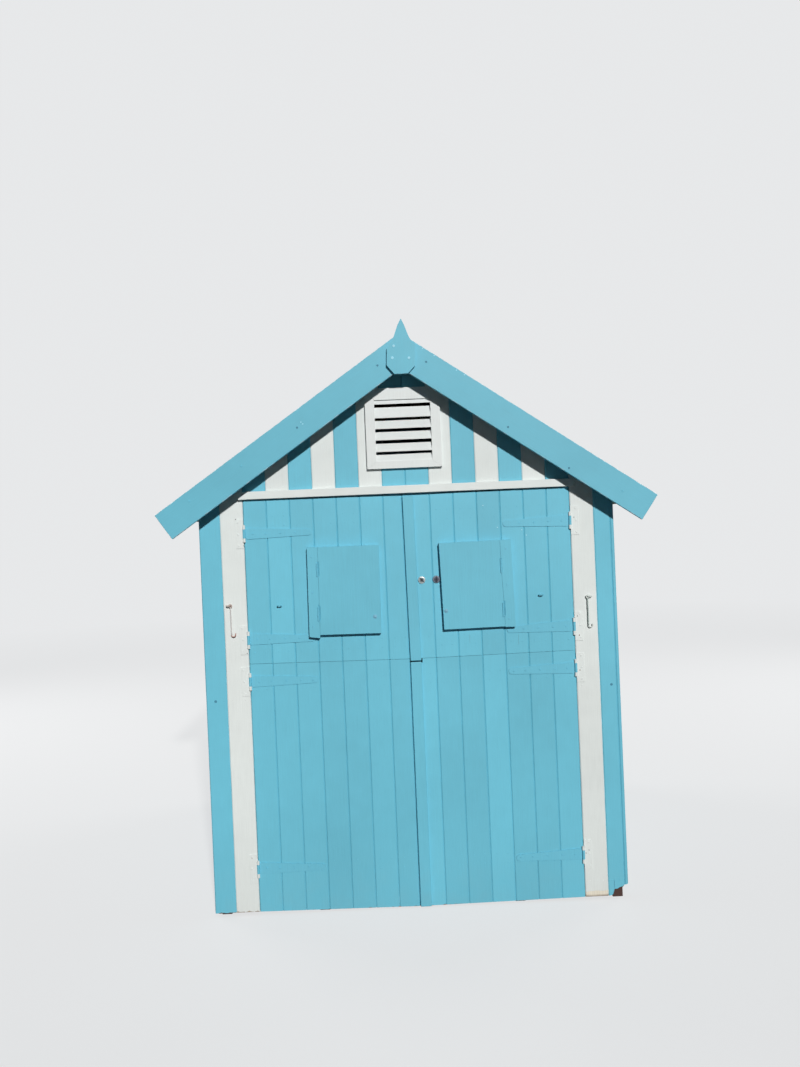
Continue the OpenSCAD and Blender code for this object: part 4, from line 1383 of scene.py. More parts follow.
@dataclass
class Vent:
    """The louvred vent in the gable."""

    hut: Hut
    slat_count: int = 6
    slat_pitch: float = 50 * MM
    slat_extra: float = 11 * MM
    slat_rise: float = 29.5 * MM
    slat_t: float = 11 * MM
    slat_first: float = 21 * MM

    def build(self) -> list[Piece]:
        """Build and dress the frame, its slats and its nails."""
        frame_box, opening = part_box("vent_frame"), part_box("vent_slats")
        return [self._frame(frame_box, opening), self._slats(opening), self._nails(frame_box, opening)]

    def _frame(self, frame_box: tuple[Vector, Vector], opening: tuple[Vector, Vector]) -> Piece:
        """Return four members, mitred at the corners with a hairline between them.

        Args:
            frame_box: Corners of the vent's frame.
            opening: Corners of its opening.

        Returns:
            The dressed frame.
        """
        gap = 0.25 * MM
        outer, inner = [[(low.x, low.z), (high.x, low.z), (high.x, high.z), (low.x, high.z)]
                        for low, high in (frame_box, opening)]
        solid = Solid()
        for k in range(4):
            n = (k + 1) % 4
            along = (Vector(outer[n]) - Vector(outer[k])).normalized() * gap
            member = [Vector(outer[k]) + along, Vector(outer[n]) - along, Vector(inner[n]) - along,
                      Vector(inner[k]) + along]
            solid.prism([tuple(p) for p in member], frame_box[0].y, frame_box[1].y)
        piece = solid.eased(1.8 * MM).object("vent_surround")
        return Place("hut", "white_paint", ("vent_frame",)).settle(piece, WHITE_VENT)

    def _slats(self, opening: tuple[Vector, Vector]) -> Piece:
        """Return the slats, the top and bottom ones cut off at the frame.

        Args:
            opening: Corners of the frame's opening.

        Returns:
            The dressed slats.
        """
        low, high = opening
        top = (0.0, low.y, high.z - self.slat_first)
        piece = points_object("louvre_slats", 1, {}, {})
        modify(piece, louvre_tree(), {
            "Count": self.slat_count, "Pitch": self.slat_pitch, "Extra": self.slat_extra,
            "Width": high.x - low.x, "Depth": high.y - low.y, "Rise": self.slat_rise,
            "Thickness": self.slat_t, "Top": top, "Material": WHITE_VENT.material(),
        })
        past = Vector((10 * MM, 10 * MM, 0))
        carved(piece, [Solid().box(low - past, high + past)], "INTERSECT")
        return Place("hut", "white_paint", ("vent_slats",)).settle(piece, WHITE_VENT)

    def _nails(self, frame_box: tuple[Vector, Vector], opening: tuple[Vector, Vector]) -> Piece:
        """Return the nails in the frame's corners and sides.

        Args:
            frame_box: Corners of the vent's frame.
            opening: Corners of its opening.

        Returns:
            The dressed nails.
        """
        low, high = frame_box
        xs = [(a.x + b.x) / 2 for a, b in zip(frame_box, opening)]
        zs = [(a.z + b.z) / 2 for a, b in zip(frame_box, opening)] + [(low.z + high.z) / 2]
        spots = front_spots(self.hut, [(x, z) for x in xs for z in zs], NAIL_SIZE, self.hut.front - low.y)
        return Fixings("vent_nails", Head.NAIL, spots, WHITE_TRIM, Place("hut", "white_paint")).build()


@dataclass
class Roof:
    """Roof boards, felt, barge boards and finial."""

    hut: Hut
    felt_t: float = 3 * MM
    strip: float = 110 * MM
    lap_at: float = 640 * MM
    lap_w: float = 75 * MM
    drip: float = 15 * MM

    def build(self) -> list[Piece]:
        """Build and dress the roof."""
        return [self._deck(-1), self._deck(1), self._felt(), self._clouts(), *self._barges(), self._finial(),
                *self._barge_screws()]

    @property
    def reach(self) -> float:
        """Length of the roof boards' slope."""
        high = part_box("roof_deck_right")[1]
        return (high.x - BOARD_T * math.sin(self.hut.slope)) / math.cos(self.hut.slope)

    def _deck(self, side: int) -> Piece:
        """Return the boards of one slope, which run from gable to gable.

        Args:
            side: -1 for the left slope and 1 for the right one.

        Returns:
            The dressed boards.
        """
        word = "right" if side > 0 else "left"
        low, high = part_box(f"roof_deck_{word}")
        count = math.ceil(self.reach / self.hut.board)
        edges = [min(k * self.hut.board, self.reach) for k in range(count + 1)]
        lengths = (-high.y, -low.y) if side > 0 else (low.y, high.y)
        boards = [Board.upright((a, b), (lengths[0],) * 2, (lengths[1],) * 2)
                  for a, b in zip(edges, edges[1:])]
        plane = Plane.ROOF_RIGHT if side > 0 else Plane.ROOF_LEFT
        place = Place("hut", "bare_timber", (f"roof_deck_{word}",))
        name = f"roof_boards_{word}"
        return Boarding(name, plane, boards, TIMBER_ALONG, place, seed=11 + side).build(self.hut)

    def _profile(self) -> list[Point]:
        """Return the felt's upper outline on one slope as distance down it and height over the boards."""
        one, two = self.felt_t, 2 * self.felt_t
        end = self.reach + self.felt_t
        step = 4 * MM
        return [
            (self.strip - step, two), (self.strip, one + 0.5 * MM), (self.lap_at - self.lap_w - 20 * MM, one),
            (self.lap_at - self.lap_w, two - 0.4 * MM), (self.lap_at - step, two), (self.lap_at, one),
            (end - 6 * MM, one), (end - 1.5 * MM, one - 1 * MM), (end, one - 4 * MM), (end, -self.drip),
        ]

    def _felt(self) -> Piece:
        """Return the felt: courses that lap, dips between the boards' nails, and a turned-down edge."""
        low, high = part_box("roof_felt")
        cos = math.cos(self.hut.slope)
        rows = 70
        profile = self._profile()
        outline = []
        for (s0, n0), (s1, n1) in zip(profile, profile[1:]):
            parts = max(1, round((s1 - s0) / (45 * MM)))
            outline += [(s0 + (s1 - s0) * k / parts, n0 + (n1 - n0) * k / parts) for k in range(parts)]
        inside = self.reach + 0.3 * MM
        outline += [profile[-1], (inside, -self.drip), (inside, 0.1 * MM)]
        crown = self.hut.ridge + (BOARD_T + 2 * self.felt_t) / cos
        hollow = self.hut.ridge + (BOARD_T + 0.1 * MM) / cos
        solid = Solid()
        rings = []
        for row in range(rows + 1):
            y = low.y + (high.y - low.y) * row / rows
            right, left = [[self._felt_point(s, n, y, side) for s, n in outline] for side in (1, -1)]
            rings.append(solid.ring([(0.0, y, crown), *right, (0.0, y, hollow), *left[::-1]]))
        return Place("hut", "roofing_felt", ("roof_felt",)).settle(solid.skin(rings).object("felt"), FELT)

    def _felt_point(self, s: float, n: float, y: float, side: int) -> tuple[float, float, float]:
        """Find a point of the felt's outline, which dips between the boards' nails.

        Args:
            s: Distance down the slope.
            n: Height over the boards.
            y: Place along the ridge.
            side: -1 for the left slope and 1 for the right one.

        Returns:
            The point.
        """
        dip = 0.0
        if s < self.reach - 5 * MM:
            dip = 0.9 * MM * noise.noise(Vector((s * 7.0 * side, y * 6.0, 4.0)))
        at = self.hut.on_slope(s, BOARD_T + n + dip, side)
        return at.x, y, at.z

    def _clouts(self) -> Piece:
        """Return the rows of felt nails."""
        low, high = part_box("roof_felt")
        size = (5 * MM, 5 * MM, 1 * MM)
        pitch = 75 * MM
        spots = []
        rows = ((self.strip - 15 * MM, 2 * self.felt_t), (self.lap_at - 18 * MM, 2 * self.felt_t),
                (self.reach - 20 * MM, self.felt_t))
        for side in (-1, 1):
            up = (side * math.sin(self.hut.slope), 0.0, math.cos(self.hut.slope))
            for s, n in rows:
                for k in range(round((high.y - low.y - 60 * MM) / pitch) + 1):
                    at = self.hut.on_slope(s, BOARD_T + n, side)
                    spots.append(Spot(Vector((at.x, low.y + 30 * MM + k * pitch, at.z)), up, size))
        return Fixings("felt_nails", Head.CLOUT, spots, GALVANISED, Place("hut", "roofing_felt")).build()

    def _barges(self) -> list[Piece]:
        """Return the barge boards of both gables."""
        return [reworked(f"barge_boards_{end}", f"barges_{end}", "hut", "blue_paint", BLUE_BARGE, 2.2 * MM)
                for end in ("front", "back")]

    def _finial(self) -> Piece:
        """Return the finial, which flares from its spire to its shoulders, its rounded edges rubbed pale and
        lit with painted highlight.
        """
        left = in_mm((6, 2598), (-9, 2570), (-19, 2543), (-27, 2521), (-35, 2504), (-46, 2489), (-58, 2476),
                     (-62, 2400), (-30, 2362))
        right = in_mm((8, 2598), (21, 2569), (31, 2540), (39, 2519), (47, 2505), (56, 2495), (66, 2487),
                      (61, 2395), (29, 2362))
        low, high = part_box("finial")
        solid = Solid().prism([*left, *right[::-1]], low.y, high.y)
        piece = solid.eased(1.6 * MM).object("finial_board")
        return Place("hut", "blue_paint", ("finial",)).settle(piece, BLUE_BARGE_UP)

    def _barge_screws(self) -> list[Piece]:
        """Return the screws of the finial and the barge boards, painted over, bright or dark, and pale chips
        on the barge; the bright heads and the chips carry painted highlight, the dark heads painted shade.
        """
        finial_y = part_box("finial")[0].y
        barge_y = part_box("barge_boards_front")[0].y
        on_finial = in_mm((-28, 2482), (-36, 2431), (36, 2428))
        dark = in_mm((-101, 2404), (110, 2411), (454, 2114), (712, 1925), (-461, 2149))
        plain = in_mm((-710, 1993), (-941, 1850), (941, 1815))
        # Pale chips along the barge's edges: chipped paint with painted highlight.
        rubbed_and_highlit = in_mm((57, 2490), (97, 2470), (146, 2437), (240, 2370), (274, 2348), (-436, 2164),
                       (-444, 2172))
        groups = (
            ("finial_screws", Head.SCREW, on_finial, finial_y, (6 * MM, 6 * MM, 1.4 * MM), PALE_HEAD),
            # Painted shade: these barge screws are darker blue.
            ("barge_screws_dark", Head.SCREW, dark, barge_y, SCREW_SIZE, DARK_HEAD),
            ("barge_screws", Head.SCREW, plain, barge_y, SCREW_SIZE, BLUE_TRIM),
            ("barge_chips", Head.FLAKE, rubbed_and_highlit, barge_y, (5 * MM, 3 * MM, 0.25 * MM), PALE_HEAD),
        )
        return [Fixings(name, head, [Spot(Vector((x, y, z)), FRONTWARDS, size) for x, z in places], finish,
                        Place("hut", "blue_paint")).build()
                for name, head, places, y, size, finish in groups]


@dataclass
class Framing:
    """The timbers that show through the open doors."""

    hut: Hut

    def build(self) -> list[Piece]:
        """Build and dress the frame and the floor."""
        finishes = {
            "floor_bearers": TIMBER_ALONG, "posts": TIMBER_UP, "door_stops": BLUE_TRIM,
            "door_head": TIMBER_ACROSS, "side_rails": TIMBER_ALONG, "back_rails": TIMBER_ACROSS,
            "wall_studs": TIMBER_UP, "end_rafters": TIMBER_SLOPE, "roof_timbers": TIMBER_ALONG,
        }
        pieces = []
        for node, finish in finishes.items():
            slot = "blue_paint" if finish is BLUE_TRIM else "bare_timber"
            pieces.append(reworked(node, f"{node}_timber", "hut", slot, finish, 1.5 * MM, 1))
        low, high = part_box("floor_boards")
        count = round((high.y - low.y) / self.hut.board)
        width = (high.y - low.y) / count
        boards = [Board.upright((-high.y + k * width, -high.y + (k + 1) * width), (low.x,) * 2, (high.x,) * 2)
                  for k in range(count)]
        pieces.append(Boarding("floor_planks", Plane.FLOOR, boards, FLOOR_TIMBER,
                               Place("hut", "bare_timber", ("floor_boards",)), seed=13).build(self.hut))
        return pieces


@dataclass
class Leaf:
    """One stable-door leaf: side is -1 for left and 1 for right."""

    hut: Hut
    side: int
    upper: bool
    meeting_lip: float = 2.8 * MM
    split_lip: float = 2.4 * MM
    hinge_lip: float = 3.8 * MM
    head_lip: float = 3 * MM
    strap_flare: float = 25 * MM
    flare_from: float = 7 * MM
    flare_to: float = 12 * MM
    pin_in: float = 2.5 * MM
    hatch_in: float = 24 * MM
    hatch_w: float = 222 * MM
    hatch_lift: float = 143.6 * MM
    hatch_h: float = 342 * MM

    @property
    def word(self) -> str:
        """Start of the names of this leaf's nodes."""
        return leaf_name(self.side, self.upper)

    @property
    def body(self) -> str:
        """Name of this leaf's body."""
        return f"{self.word}_leaf"

    def build(self) -> list[Piece]:
        """Build and dress the leaf."""
        pieces = [self._boards(), self._ledges(), self._straps(), *self._fixings()]
        if self.side > 0:
            pieces.append(self._strip())
        if self.upper:
            pieces.extend(Shutter(self).build())
        return pieces

    def drop(self, x: float) -> float:
        """Return how far the leaf has sagged at x."""
        return (self.hut.opening - abs(x)) * math.tan(SAG)

    def _free_edge(self) -> Span:
        """Return x of the free edge at the leaf's foot and at its head."""
        lower_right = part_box("lower_right_door")[0].x
        gap = lower_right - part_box("lower_left_door")[1].x
        lean = lower_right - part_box("upper_right_door")[0].x if self.upper else 0.0
        foot = lower_right if self.side > 0 else lower_right - gap
        return foot, foot - lean

    def _boards(self) -> Piece:
        """Return the leaf's boards."""
        low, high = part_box(f"{self.word}_door")
        outer = max(abs(low.x), abs(high.x)) + self.hinge_lip
        foot_x, head_x = [x - self.side * self.meeting_lip for x in self._free_edge()]
        foot = low.z + self.drop(foot_x) - (self.split_lip if self.upper else 0.0)
        head = high.z + (self.head_lip if self.upper else self.split_lip)
        stations = [(k * self.hut.board,) * 2 for k in range(1, LEAF_BOARDS)] + [(outer, outer)]
        stations = [(self.side * a, self.side * b) for a, b in stations]
        stations = [(foot_x, head_x), *stations]
        boards = []
        for near, far in zip(stations, stations[1:]):
            a, b = sorted((near, far))
            left, right = [((s[0], foot - self.drop(s[0])), (s[1], head - self.drop(s[1]))) for s in (a, b)]
            boards.append(Board(left, right, 0.0 if self.upper else 7 * MM))
        place = Place(self.body, "blue_paint", (f"{self.word}_door",))
        return Boarding(f"{self.word}_boards", Plane.FRONT, boards, BLUE, place,
                        seed=20 + 2 * self.side + self.upper, cutters=self._cutters(head)).build(self.hut)

    def _cutters(self, head: float) -> list[Solid]:
        """Return what is cut out of the boards: the hatch, or the notch for the upper strip.

        Args:
            head: Height of the boards' top edge at the hinges.

        Returns:
            The cutters, if there are any.
        """
        past = 10 * MM
        if self.upper:
            panel_low, panel_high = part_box(f"{self.word}_shutter")
            inner = min(abs(panel_low.x), abs(panel_high.x)) + self.hatch_in
            outer = inner + self.hatch_w
            a, b = sorted((self.side * inner, self.side * outer))
            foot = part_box(f"{self.word}_door")[0].z + self.hatch_lift
            return [Solid().box((a, -past, foot), (b, BOARD_T + past, foot + self.hatch_h))]
        if self.side > 0:
            strip_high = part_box("lower_right_strip")[1]
            return [Solid().box((-past * 10, -past, strip_high.z - 5 * MM),
                                (strip_high.x + 5 * MM, BOARD_T + past, head + past))]
        return []

    def _ledges(self) -> Piece:
        """Return the ledges across the back of the leaf."""
        word = self.word
        return reworked(f"{word}_ledges", f"{word}_ledge_rails", self.body, "bare_timber", TIMBER_ACROSS,
                        4 * MM)

    def _straps(self) -> Piece:
        """Return the strap hinges, flared past their knuckles, their edges eased round."""
        node = f"{self.word}_straps"
        solid = Solid().copy_of(node)
        pin = self.hut.opening - self.pin_in
        for reach in (self.flare_from, self.flare_to):
            geometry = [*solid.bm.verts, *solid.bm.edges, *solid.bm.faces]
            bmesh.ops.bisect_plane(solid.bm, geom=geometry, dist=0.01 * MM,
                                   plane_co=(self.side * (pin - reach), 0, 0), plane_no=(1, 0, 0))
        for vert in solid.bm.verts:
            reach = pin - abs(vert.co.x)
            if abs(reach - self.flare_to) < 0.1 * MM:
                middle = min(self.hinge_heights(), key=lambda z: abs(z - vert.co.z)) - math.tan(SAG) * reach
                vert.co.z = middle + math.copysign(self.strap_flare, vert.co.z - middle)
        piece = solid.eased(0.8 * MM, 2).object(f"{self.word}_strap_hinges")
        return Place(self.body, "blue_iron", (node,)).settle(piece, BLUE_STRAP)

    def hinge_heights(self) -> Span:
        """Return the heights of the leaf's two hinges."""
        low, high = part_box(f"{self.word}_straps")
        half = 20 * MM
        return low.z + half + 3 * MM, high.z - half

    def _fixings(self) -> list[Piece]:
        """Return the nails through the boards into the ledges, and the straps' screws."""
        hut = self.hut
        low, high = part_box(f"{self.word}_ledges")
        heights = [low.z + 22 * MM, low.z + 63 * MM, high.z - 63 * MM, high.z - 22 * MM]
        nails = []
        for z in heights:
            for k in range(LEAF_BOARDS):
                for share in (0.27, 0.73):
                    x = (k + share) * hut.board
                    covered = self.side > 0 and x < 50 * MM
                    nails += [] if covered or x > 700 * MM else [(self.side * x, z)]
        pin = hut.opening - self.pin_in
        screws = [(self.side * (pin - reach), z - math.tan(SAG) * reach)
                  for z in self.hinge_heights() for reach in (38 * MM, 95 * MM, 160 * MM, 225 * MM, 278 * MM)]
        if self.upper:
            screws = [p for p in screws if abs(p[0]) > 470 * MM]
        return [
            Fixings(f"{self.word}_nails", Head.NAIL, front_spots(hut, nails, NAIL_SIZE), BLUE_TRIM,
                    Place(self.body, "blue_paint")).build(),
            Fixings(f"{self.word}_strap_screws", Head.SCREW, front_spots(hut, screws, SCREW_SIZE, 3.5 * MM),
                    BLUE_STRAP, Place(self.body, "blue_iron")).build(),
        ]

    def _strip(self) -> Piece:
        """Return the cover strip on the free edge."""
        word = self.word
        return reworked(f"{word}_strip", f"{word}_cover_strip", self.body, "blue_paint", BLUE_RIM, 2.5 * MM)


@dataclass(frozen=True)
class ScrewEye:
    """A screw eye in the front, its ring lying flat."""

    hut: Hut
    ring_r: float = 9 * MM
    wire_r: float = 2.4 * MM
    collar_r: float = 4.2 * MM

    @property
    def ring_y(self) -> float:
        """Return y of the ring's centre."""
        return self.hut.front - self.ring_r - self.wire_r

    def add_to(self, solid: Solid, x: float, z: float) -> Solid:
        """Add the eye at x and z.

        Args:
            solid: Where it goes.
            x: Place of its shank across the front.
            z: Height of its shank.

        Returns:
            The same solid.
        """
        steps = 28
        ring = [Vector((x + self.ring_r * math.sin(a), self.ring_y + self.ring_r * math.cos(a), z))
                for a in circle(steps)]
        solid.tube(ring, [self.wire_r] * steps, 12, closed=True)
        shank = [Vector((x, self.hut.front + (1 - 2 * k) * MM, z)) for k in range(3)]
        solid.tube(shank, [self.wire_r] * 3, 12)
        outwards = Matrix.Translation((x, self.hut.front, z)) @ Matrix.Rotation(math.pi / 2, 4, "X")
        return solid.lathe(turned(self.collar_r, (1, -0.2), (1, 0.8), (0.7, 1.4)), 14, outwards)


@dataclass
class Shutter:
    """The shutter on an upper leaf, with its butt hinges, turn knob and the leaf's screw eye."""

    leaf: Leaf
    butt_r: float = 4 * MM
    butt_h: float = 62 * MM
    eye_z: float = 1372 * MM

    def build(self) -> list[Piece]:
        """Build and dress the shutter and its fittings."""
        word = self.leaf.word
        node = f"{word}_shutter"
        panel = self._set(Solid().copy_of(node)).eased(2 * MM).object(f"{word}_shutter_panel")
        Place(self.leaf.body, "blue_paint", (node,)).settle(panel, BLUE_RIM)
        return [panel, self._knuckles(), self._knob(), self._eye(), self._screws()]

    def _set(self, solid: Solid) -> Solid:
        """Move the panel's and the stile's lower corners to where the shutter has dropped.

        Args:
            solid: The shutter's panel and stile.

        Returns:
            The same solid.
        """
        heights = [vert.co.z for vert in solid.bm.verts]
        middle = (min(heights) + max(heights)) / 2
        right = self.leaf.side > 0
        stile = 412 * MM
        for vert in solid.bm.verts:
            below = vert.co.z < middle
            outer = abs(vert.co.x) > stile
            vert.co.x += (5 * MM if below else 0.0) if right else 5.5 * MM
            if right:
                vert.co.z += (6 * MM if outer else 8 * MM) if below else 1 * MM
            else:
                vert.co.z += (11 * MM if outer else 5 * MM) if below else 4 * MM
        return solid

    def _on_panel(self, x: float, z: float, y: float) -> Vector:
        """Find a point of the shutter.

        Args:
            x: Distance from its stile's lower outer corner towards the middle.
            z: Height over that corner.
            y: Place in the hut's depth.

        Returns:
            The point, turned with the leaf's sag.
        """
        corner_x, corner_z = 458 * MM, 1233 * MM
        across = -x * math.cos(SAG) - z * math.sin(SAG)
        up = z * math.cos(SAG) - x * math.sin(SAG)
        return Vector((self.leaf.side * (corner_x + across), y, corner_z + up))

    def _front(self) -> float:
        """Return y of the shutter's face."""
        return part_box(f"{self.leaf.word}_shutter")[0].y

    def _knuckles(self) -> Piece:
        """Return the butt hinges' knuckles, three to a hinge on one pin."""
        shift = 15 * MM if self.leaf.side > 0 else 0.0
        solid = Solid()
        y = self._front() - 1 * MM
        lean = Matrix.Rotation(-self.leaf.side * SAG, 4, "Y")
        part = self.butt_h / 3
        r, gap, edge = self.butt_r, 0.4 * MM, 1 * MM
        for middle in (97 * MM, 293 * MM):
            foot = Matrix.Translation(self._on_panel(48 * MM, middle - shift - self.butt_h / 2, y)) @ lean
            for k in range(3):
                profile = [(0.8 * r, gap), (r, edge), (r, part - edge), (0.8 * r, part - gap)]
                solid.lathe(profile, 16, foot @ Matrix.Translation((0, 0, k * part)))
            solid.lathe([(0.45 * r, 0.2 * MM), (0.45 * r, self.butt_h - 0.2 * MM)], 12, foot)
        piece = solid.object(f"{self.leaf.word}_butt_knuckles")
        return Place(self.leaf.body, "blue_iron", (f"{self.leaf.word}_fittings",)).settle(piece, BLUE_IRON)

    def _knob(self) -> Piece:
        """Return the turn knob that holds the shutter."""
        right = self.leaf.side > 0
        at = self._on_panel((301 if right else 298) * MM, (91 if right else 79) * MM, self._front())
        place = Matrix.Translation(at) @ Matrix.Rotation(math.pi / 2, 4, "X")
        profile = in_mm((9, -0.3), (9, 1.2), (8, 2.0), (4.6, 2.2), (4.6, 4.2), (3.6, 5.4), (1.6, 6.0))
        piece = Solid().lathe(profile, 20, place).object(f"{self.leaf.word}_turn_knob")
        return Place(self.leaf.body, "rusty_iron").settle(piece, KNOB_IRON)

    def _eye(self) -> Piece:
        """Return the screw eye for the cabin hook, painted over with the door."""
        low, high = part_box(f"{self.leaf.word}_fittings")
        eye = ScrewEye(self.leaf.hut)
        x = self.leaf.side * (max(abs(low.x), abs(high.x)) - eye.ring_r - eye.wire_r)
        piece = eye.add_to(Solid(), x, self.eye_z).shaded().object(f"{self.leaf.word}_screw_eye")
        return Place(self.leaf.body, "rusty_iron").settle(piece, EYE_IRON)

    def _screws(self) -> Piece:
        """Return the screws down the hinge stile."""
        points = [self._on_panel(24 * MM, z, self._front()) for z in (42 * MM, 193 * MM, 352 * MM)]
        spots = [Spot(p, FRONTWARDS, SCREW_SIZE) for p in points]
        return Fixings(f"{self.leaf.word}_stile_screws", Head.SCREW, spots, BLUE_IRON,
                       Place(self.leaf.body, "blue_iron")).build()


@dataclass
class Ironmongery:
    """Hinge plates, cabin hooks and lock cylinders."""

    hut: Hut
    wire_r: float = 2.4 * MM
    hook_r: float = 9 * MM
    rod: float = 122 * MM
    ring_r: float = 6 * MM
    ring_drop: float = 0.7 * MM
    tip: float = 7 * MM

    def build(self) -> list[Piece]:
        """Build and dress the fittings of the hut and the locks."""
        return [*self._plates(), *self._hooks(), *self._locks()]

    def _plates(self) -> list[Piece]:
        """Return the fixed hinge plates and their screws."""
        piece = reworked("hinge_plates", "fixed_plates", "hut", "white_iron", WHITE_PLATE, 0.6 * MM, 1)
        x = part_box("hinge_plates")[1].x - 12 * MM
        middles = [z for upper in (False, True) for z in Leaf(self.hut, 1, upper).hinge_heights()]
        places = [(side * x, z + dz) for side in (-1, 1) for z in middles for dz in (-52 * MM, 0, 52 * MM)]
        spots = front_spots(self.hut, places, SCREW_SIZE, 3 * MM)
        screws = Fixings("plate_screws", Head.SCREW, spots, WHITE_PLATE, Place("hut", "white_iron"))
        return [piece, screws.build()]

    def _hooks(self) -> list[Piece]:
        """Return the two cabin hooks in their screw eyes."""
        low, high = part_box("cabin_hooks")
        eye = ScrewEye(self.hut)
        inward = 2 * eye.ring_r + eye.wire_r
        below = self.ring_drop + self.ring_r + self.rod + self.hook_r + self.wire_r
        left = Vector((low.x + inward, eye.ring_y, high.z - eye.wire_r))
        right = Vector((high.x - inward, eye.ring_y, low.z + below))
        pieces = []
        sides = (("left", -1, left, EYE_IRON_WARM, HOOK_IRON, HOOK_TIP_WARM),
                 ("right", 1, right, EYE_IRON_PALE, HOOK_IRON_DULL, EYE_IRON_PALE))
        for word, side, at, eye_finish, rod_finish, tip_finish in sides:
            eyes = eye.add_to(Solid(), at.x + side * eye.ring_r, at.z)
            built = {
                "eye": (eyes, eye_finish),
                "rod": (self._hook_rod(at), rod_finish),
                "ring": (self._hook_ring(at), eye_finish),
                "tip": (self._hook_tip(at), tip_finish),
            }
            for part, (solid, finish) in built.items():
                piece = solid.shaded().object(f"{word}_hook_{part}")
                pieces.append(Place("hut", "rusty_iron", ("cabin_hooks",)).settle(piece, finish))
        return pieces

    def _hook_foot(self, at: Vector) -> float:
        """Return the height where the bend starts of a hook that hangs at a point."""
        return at.z - self.ring_drop - self.ring_r - self.rod

    def _hook_rod(self, at: Vector) -> Solid:
        """Return the straight rod with the collar a third of the way down it.

        Args:
            at: Where the hook hangs.

        Returns:
            The rod.
        """
        foot = self._hook_foot(at)
        steps = 12
        rod = [Vector((at.x, at.y, foot + self.rod * k / steps)) for k in range(steps + 1)]
        collar = turned(self.wire_r, (1, 0), (1.375, 0.8), (1.375, 4.2), (1, 5))
        place = Matrix.Translation((at.x, at.y, foot + 0.62 * self.rod))
        return Solid().tube(rod, [self.wire_r] * (steps + 1), 14).lathe(collar, 16, place)

    def _hook_ring(self, at: Vector) -> Solid:
        """Return the ring that hangs round the screw eye's wire.

        Args:
            at: Where the hook hangs.

        Returns:
            The ring.
        """
        steps = 28
        middle = at - Vector((0, 0, self.ring_drop))
        ring = [middle + self.ring_r * Vector((math.cos(a), 0, math.sin(a))) for a in circle(steps)]
        return Solid().tube(ring, [self.wire_r] * steps, 12, closed=True)

    def _hook_tip(self, at: Vector) -> Solid:
        """Return the bend and the pointed end.

        Args:
            at: Where the hook hangs.

        Returns:
            The tip.
        """
        steps = 14
        turns = [math.pi * k / steps for k in range(steps + 1)]
        middle = Vector((at.x + self.hook_r, at.y, self._hook_foot(at)))
        path = [middle - self.hook_r * Vector((math.cos(a), 0, math.sin(a))) for a in turns]
        path += [middle + Vector((self.hook_r, 0, self.tip * share)) for share in (0.5, 0.9, 1.0)]
        taper = [self.wire_r * share for share in [1.0] * (steps + 1) + [0.95, 0.75, 0.4]]
        return Solid().tube(path, taper, 14)

    def _locks(self) -> list[Piece]:
        """Return the two lock cylinders, one bright and one dull, each with its plug and keyway; the plugs'
        and keyways' dark colours are painted reflection and painted shade.
        """
        low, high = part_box("lock_cylinders")
        radius = (high.z - low.z) / 2
        body = f"{leaf_name(1, True)}_leaf"
        rim = turned(radius, (1, -0.3), (1, 3.2), (0.94, 5.4), (0.84, 6.6), (0.74, 6.8), (0.68, 5.0),
                     (0.68, 4.0))
        plug = turned(radius, (0.58, 3.0), (0.58, 7.2), (0.50, 7.8))
        slot_low, slot_high = (-1.7 * MM, -0.8 * radius, 0.0), (1.7 * MM, 0.8 * radius, 3.4 * MM)
        pieces = []
        keyways = Solid()
        # The plugs' dark colours are painted: a dark reflection on the chrome one, the shade of its hole on
        # the dull one.
        for word, x, slot_turn, finish, plug_finish in (
                ("bright", low.x + radius, math.radians(45), CHROME, CHROME_PLUG_DARK_REFLECTION),
                ("dull", high.x - radius, 0.0, DARK_METAL, DULL_PLUG_SHADE)):
            middle = Vector((x, self.hut.front, (low.z + high.z) / 2))
            place = Matrix.Translation(middle) @ Matrix.Rotation(math.pi / 2, 4, "X")
            piece = Solid().lathe(rim, 40, place).object(f"lock_{word}")
            pieces.append(Place(body, "lock_chrome", ("lock_cylinders",)).settle(piece, finish))
            core = Solid().lathe(plug, 32, place).object(f"lock_{word}_plug")
            pieces.append(Place(body, "lock_chrome").settle(core, plug_finish))
            slot = place @ Matrix.Rotation(slot_turn, 4, "Z") @ Matrix.Translation((0, 0, 5 * MM))
            keyways.box(slot_low, slot_high, slot)
            keyways.lathe(in_mm((4.4, 5), (4.4, 8.3), (3.6, 8.6)), 16, place)
        # Painted shade: the keyholes are near-black discs and slots.
        pieces.append(Place(body, "lock_chrome").settle(keyways.object("keyways"), KEYHOLE_SHADE))
        return pieces


@dataclass
class Wear:
    """Marks on the door leaves: pale dots that are painted glints, cracks and a stray screw."""

    hut: Hut

    def build(self) -> list[Piece]:
        """Build and dress the marks and the painted glints."""
        hut = self.hut
        dot = (2.2 * MM, 2.2 * MM, 0.3 * MM)
        dots = in_mm((341, 1780), (401, 1680), (529, 1640), (655, 1674), (510, 1664))
        place = Place("upper_right_leaf", "blue_paint")
        cracks = [*front_spots(hut, in_mm((475, 1180)), (0.5 * MM, 34 * MM, 0.2 * MM)),
                  *front_spots(hut, in_mm((258, 1190)), (0.45 * MM, 30 * MM, 0.2 * MM))]
        edge = front_spots(hut, in_mm((708, 1246)), (3 * MM, 6 * MM, 0.3 * MM))
        return [
            # Painted highlights: glints on the upper right leaf's nail heads and paint bumps.
            Fixings("pale_dots", Head.NAIL, front_spots(hut, dots, dot), GLINT_PAINT, place).build(),
            Fixings("door_cracks", Head.FLAKE, cracks, DARK_MARK, place, spin=0.0).build(),
            Fixings("edge_mark", Head.FLAKE, edge, DARK_MARK, place).build(),
        ]


# Stage


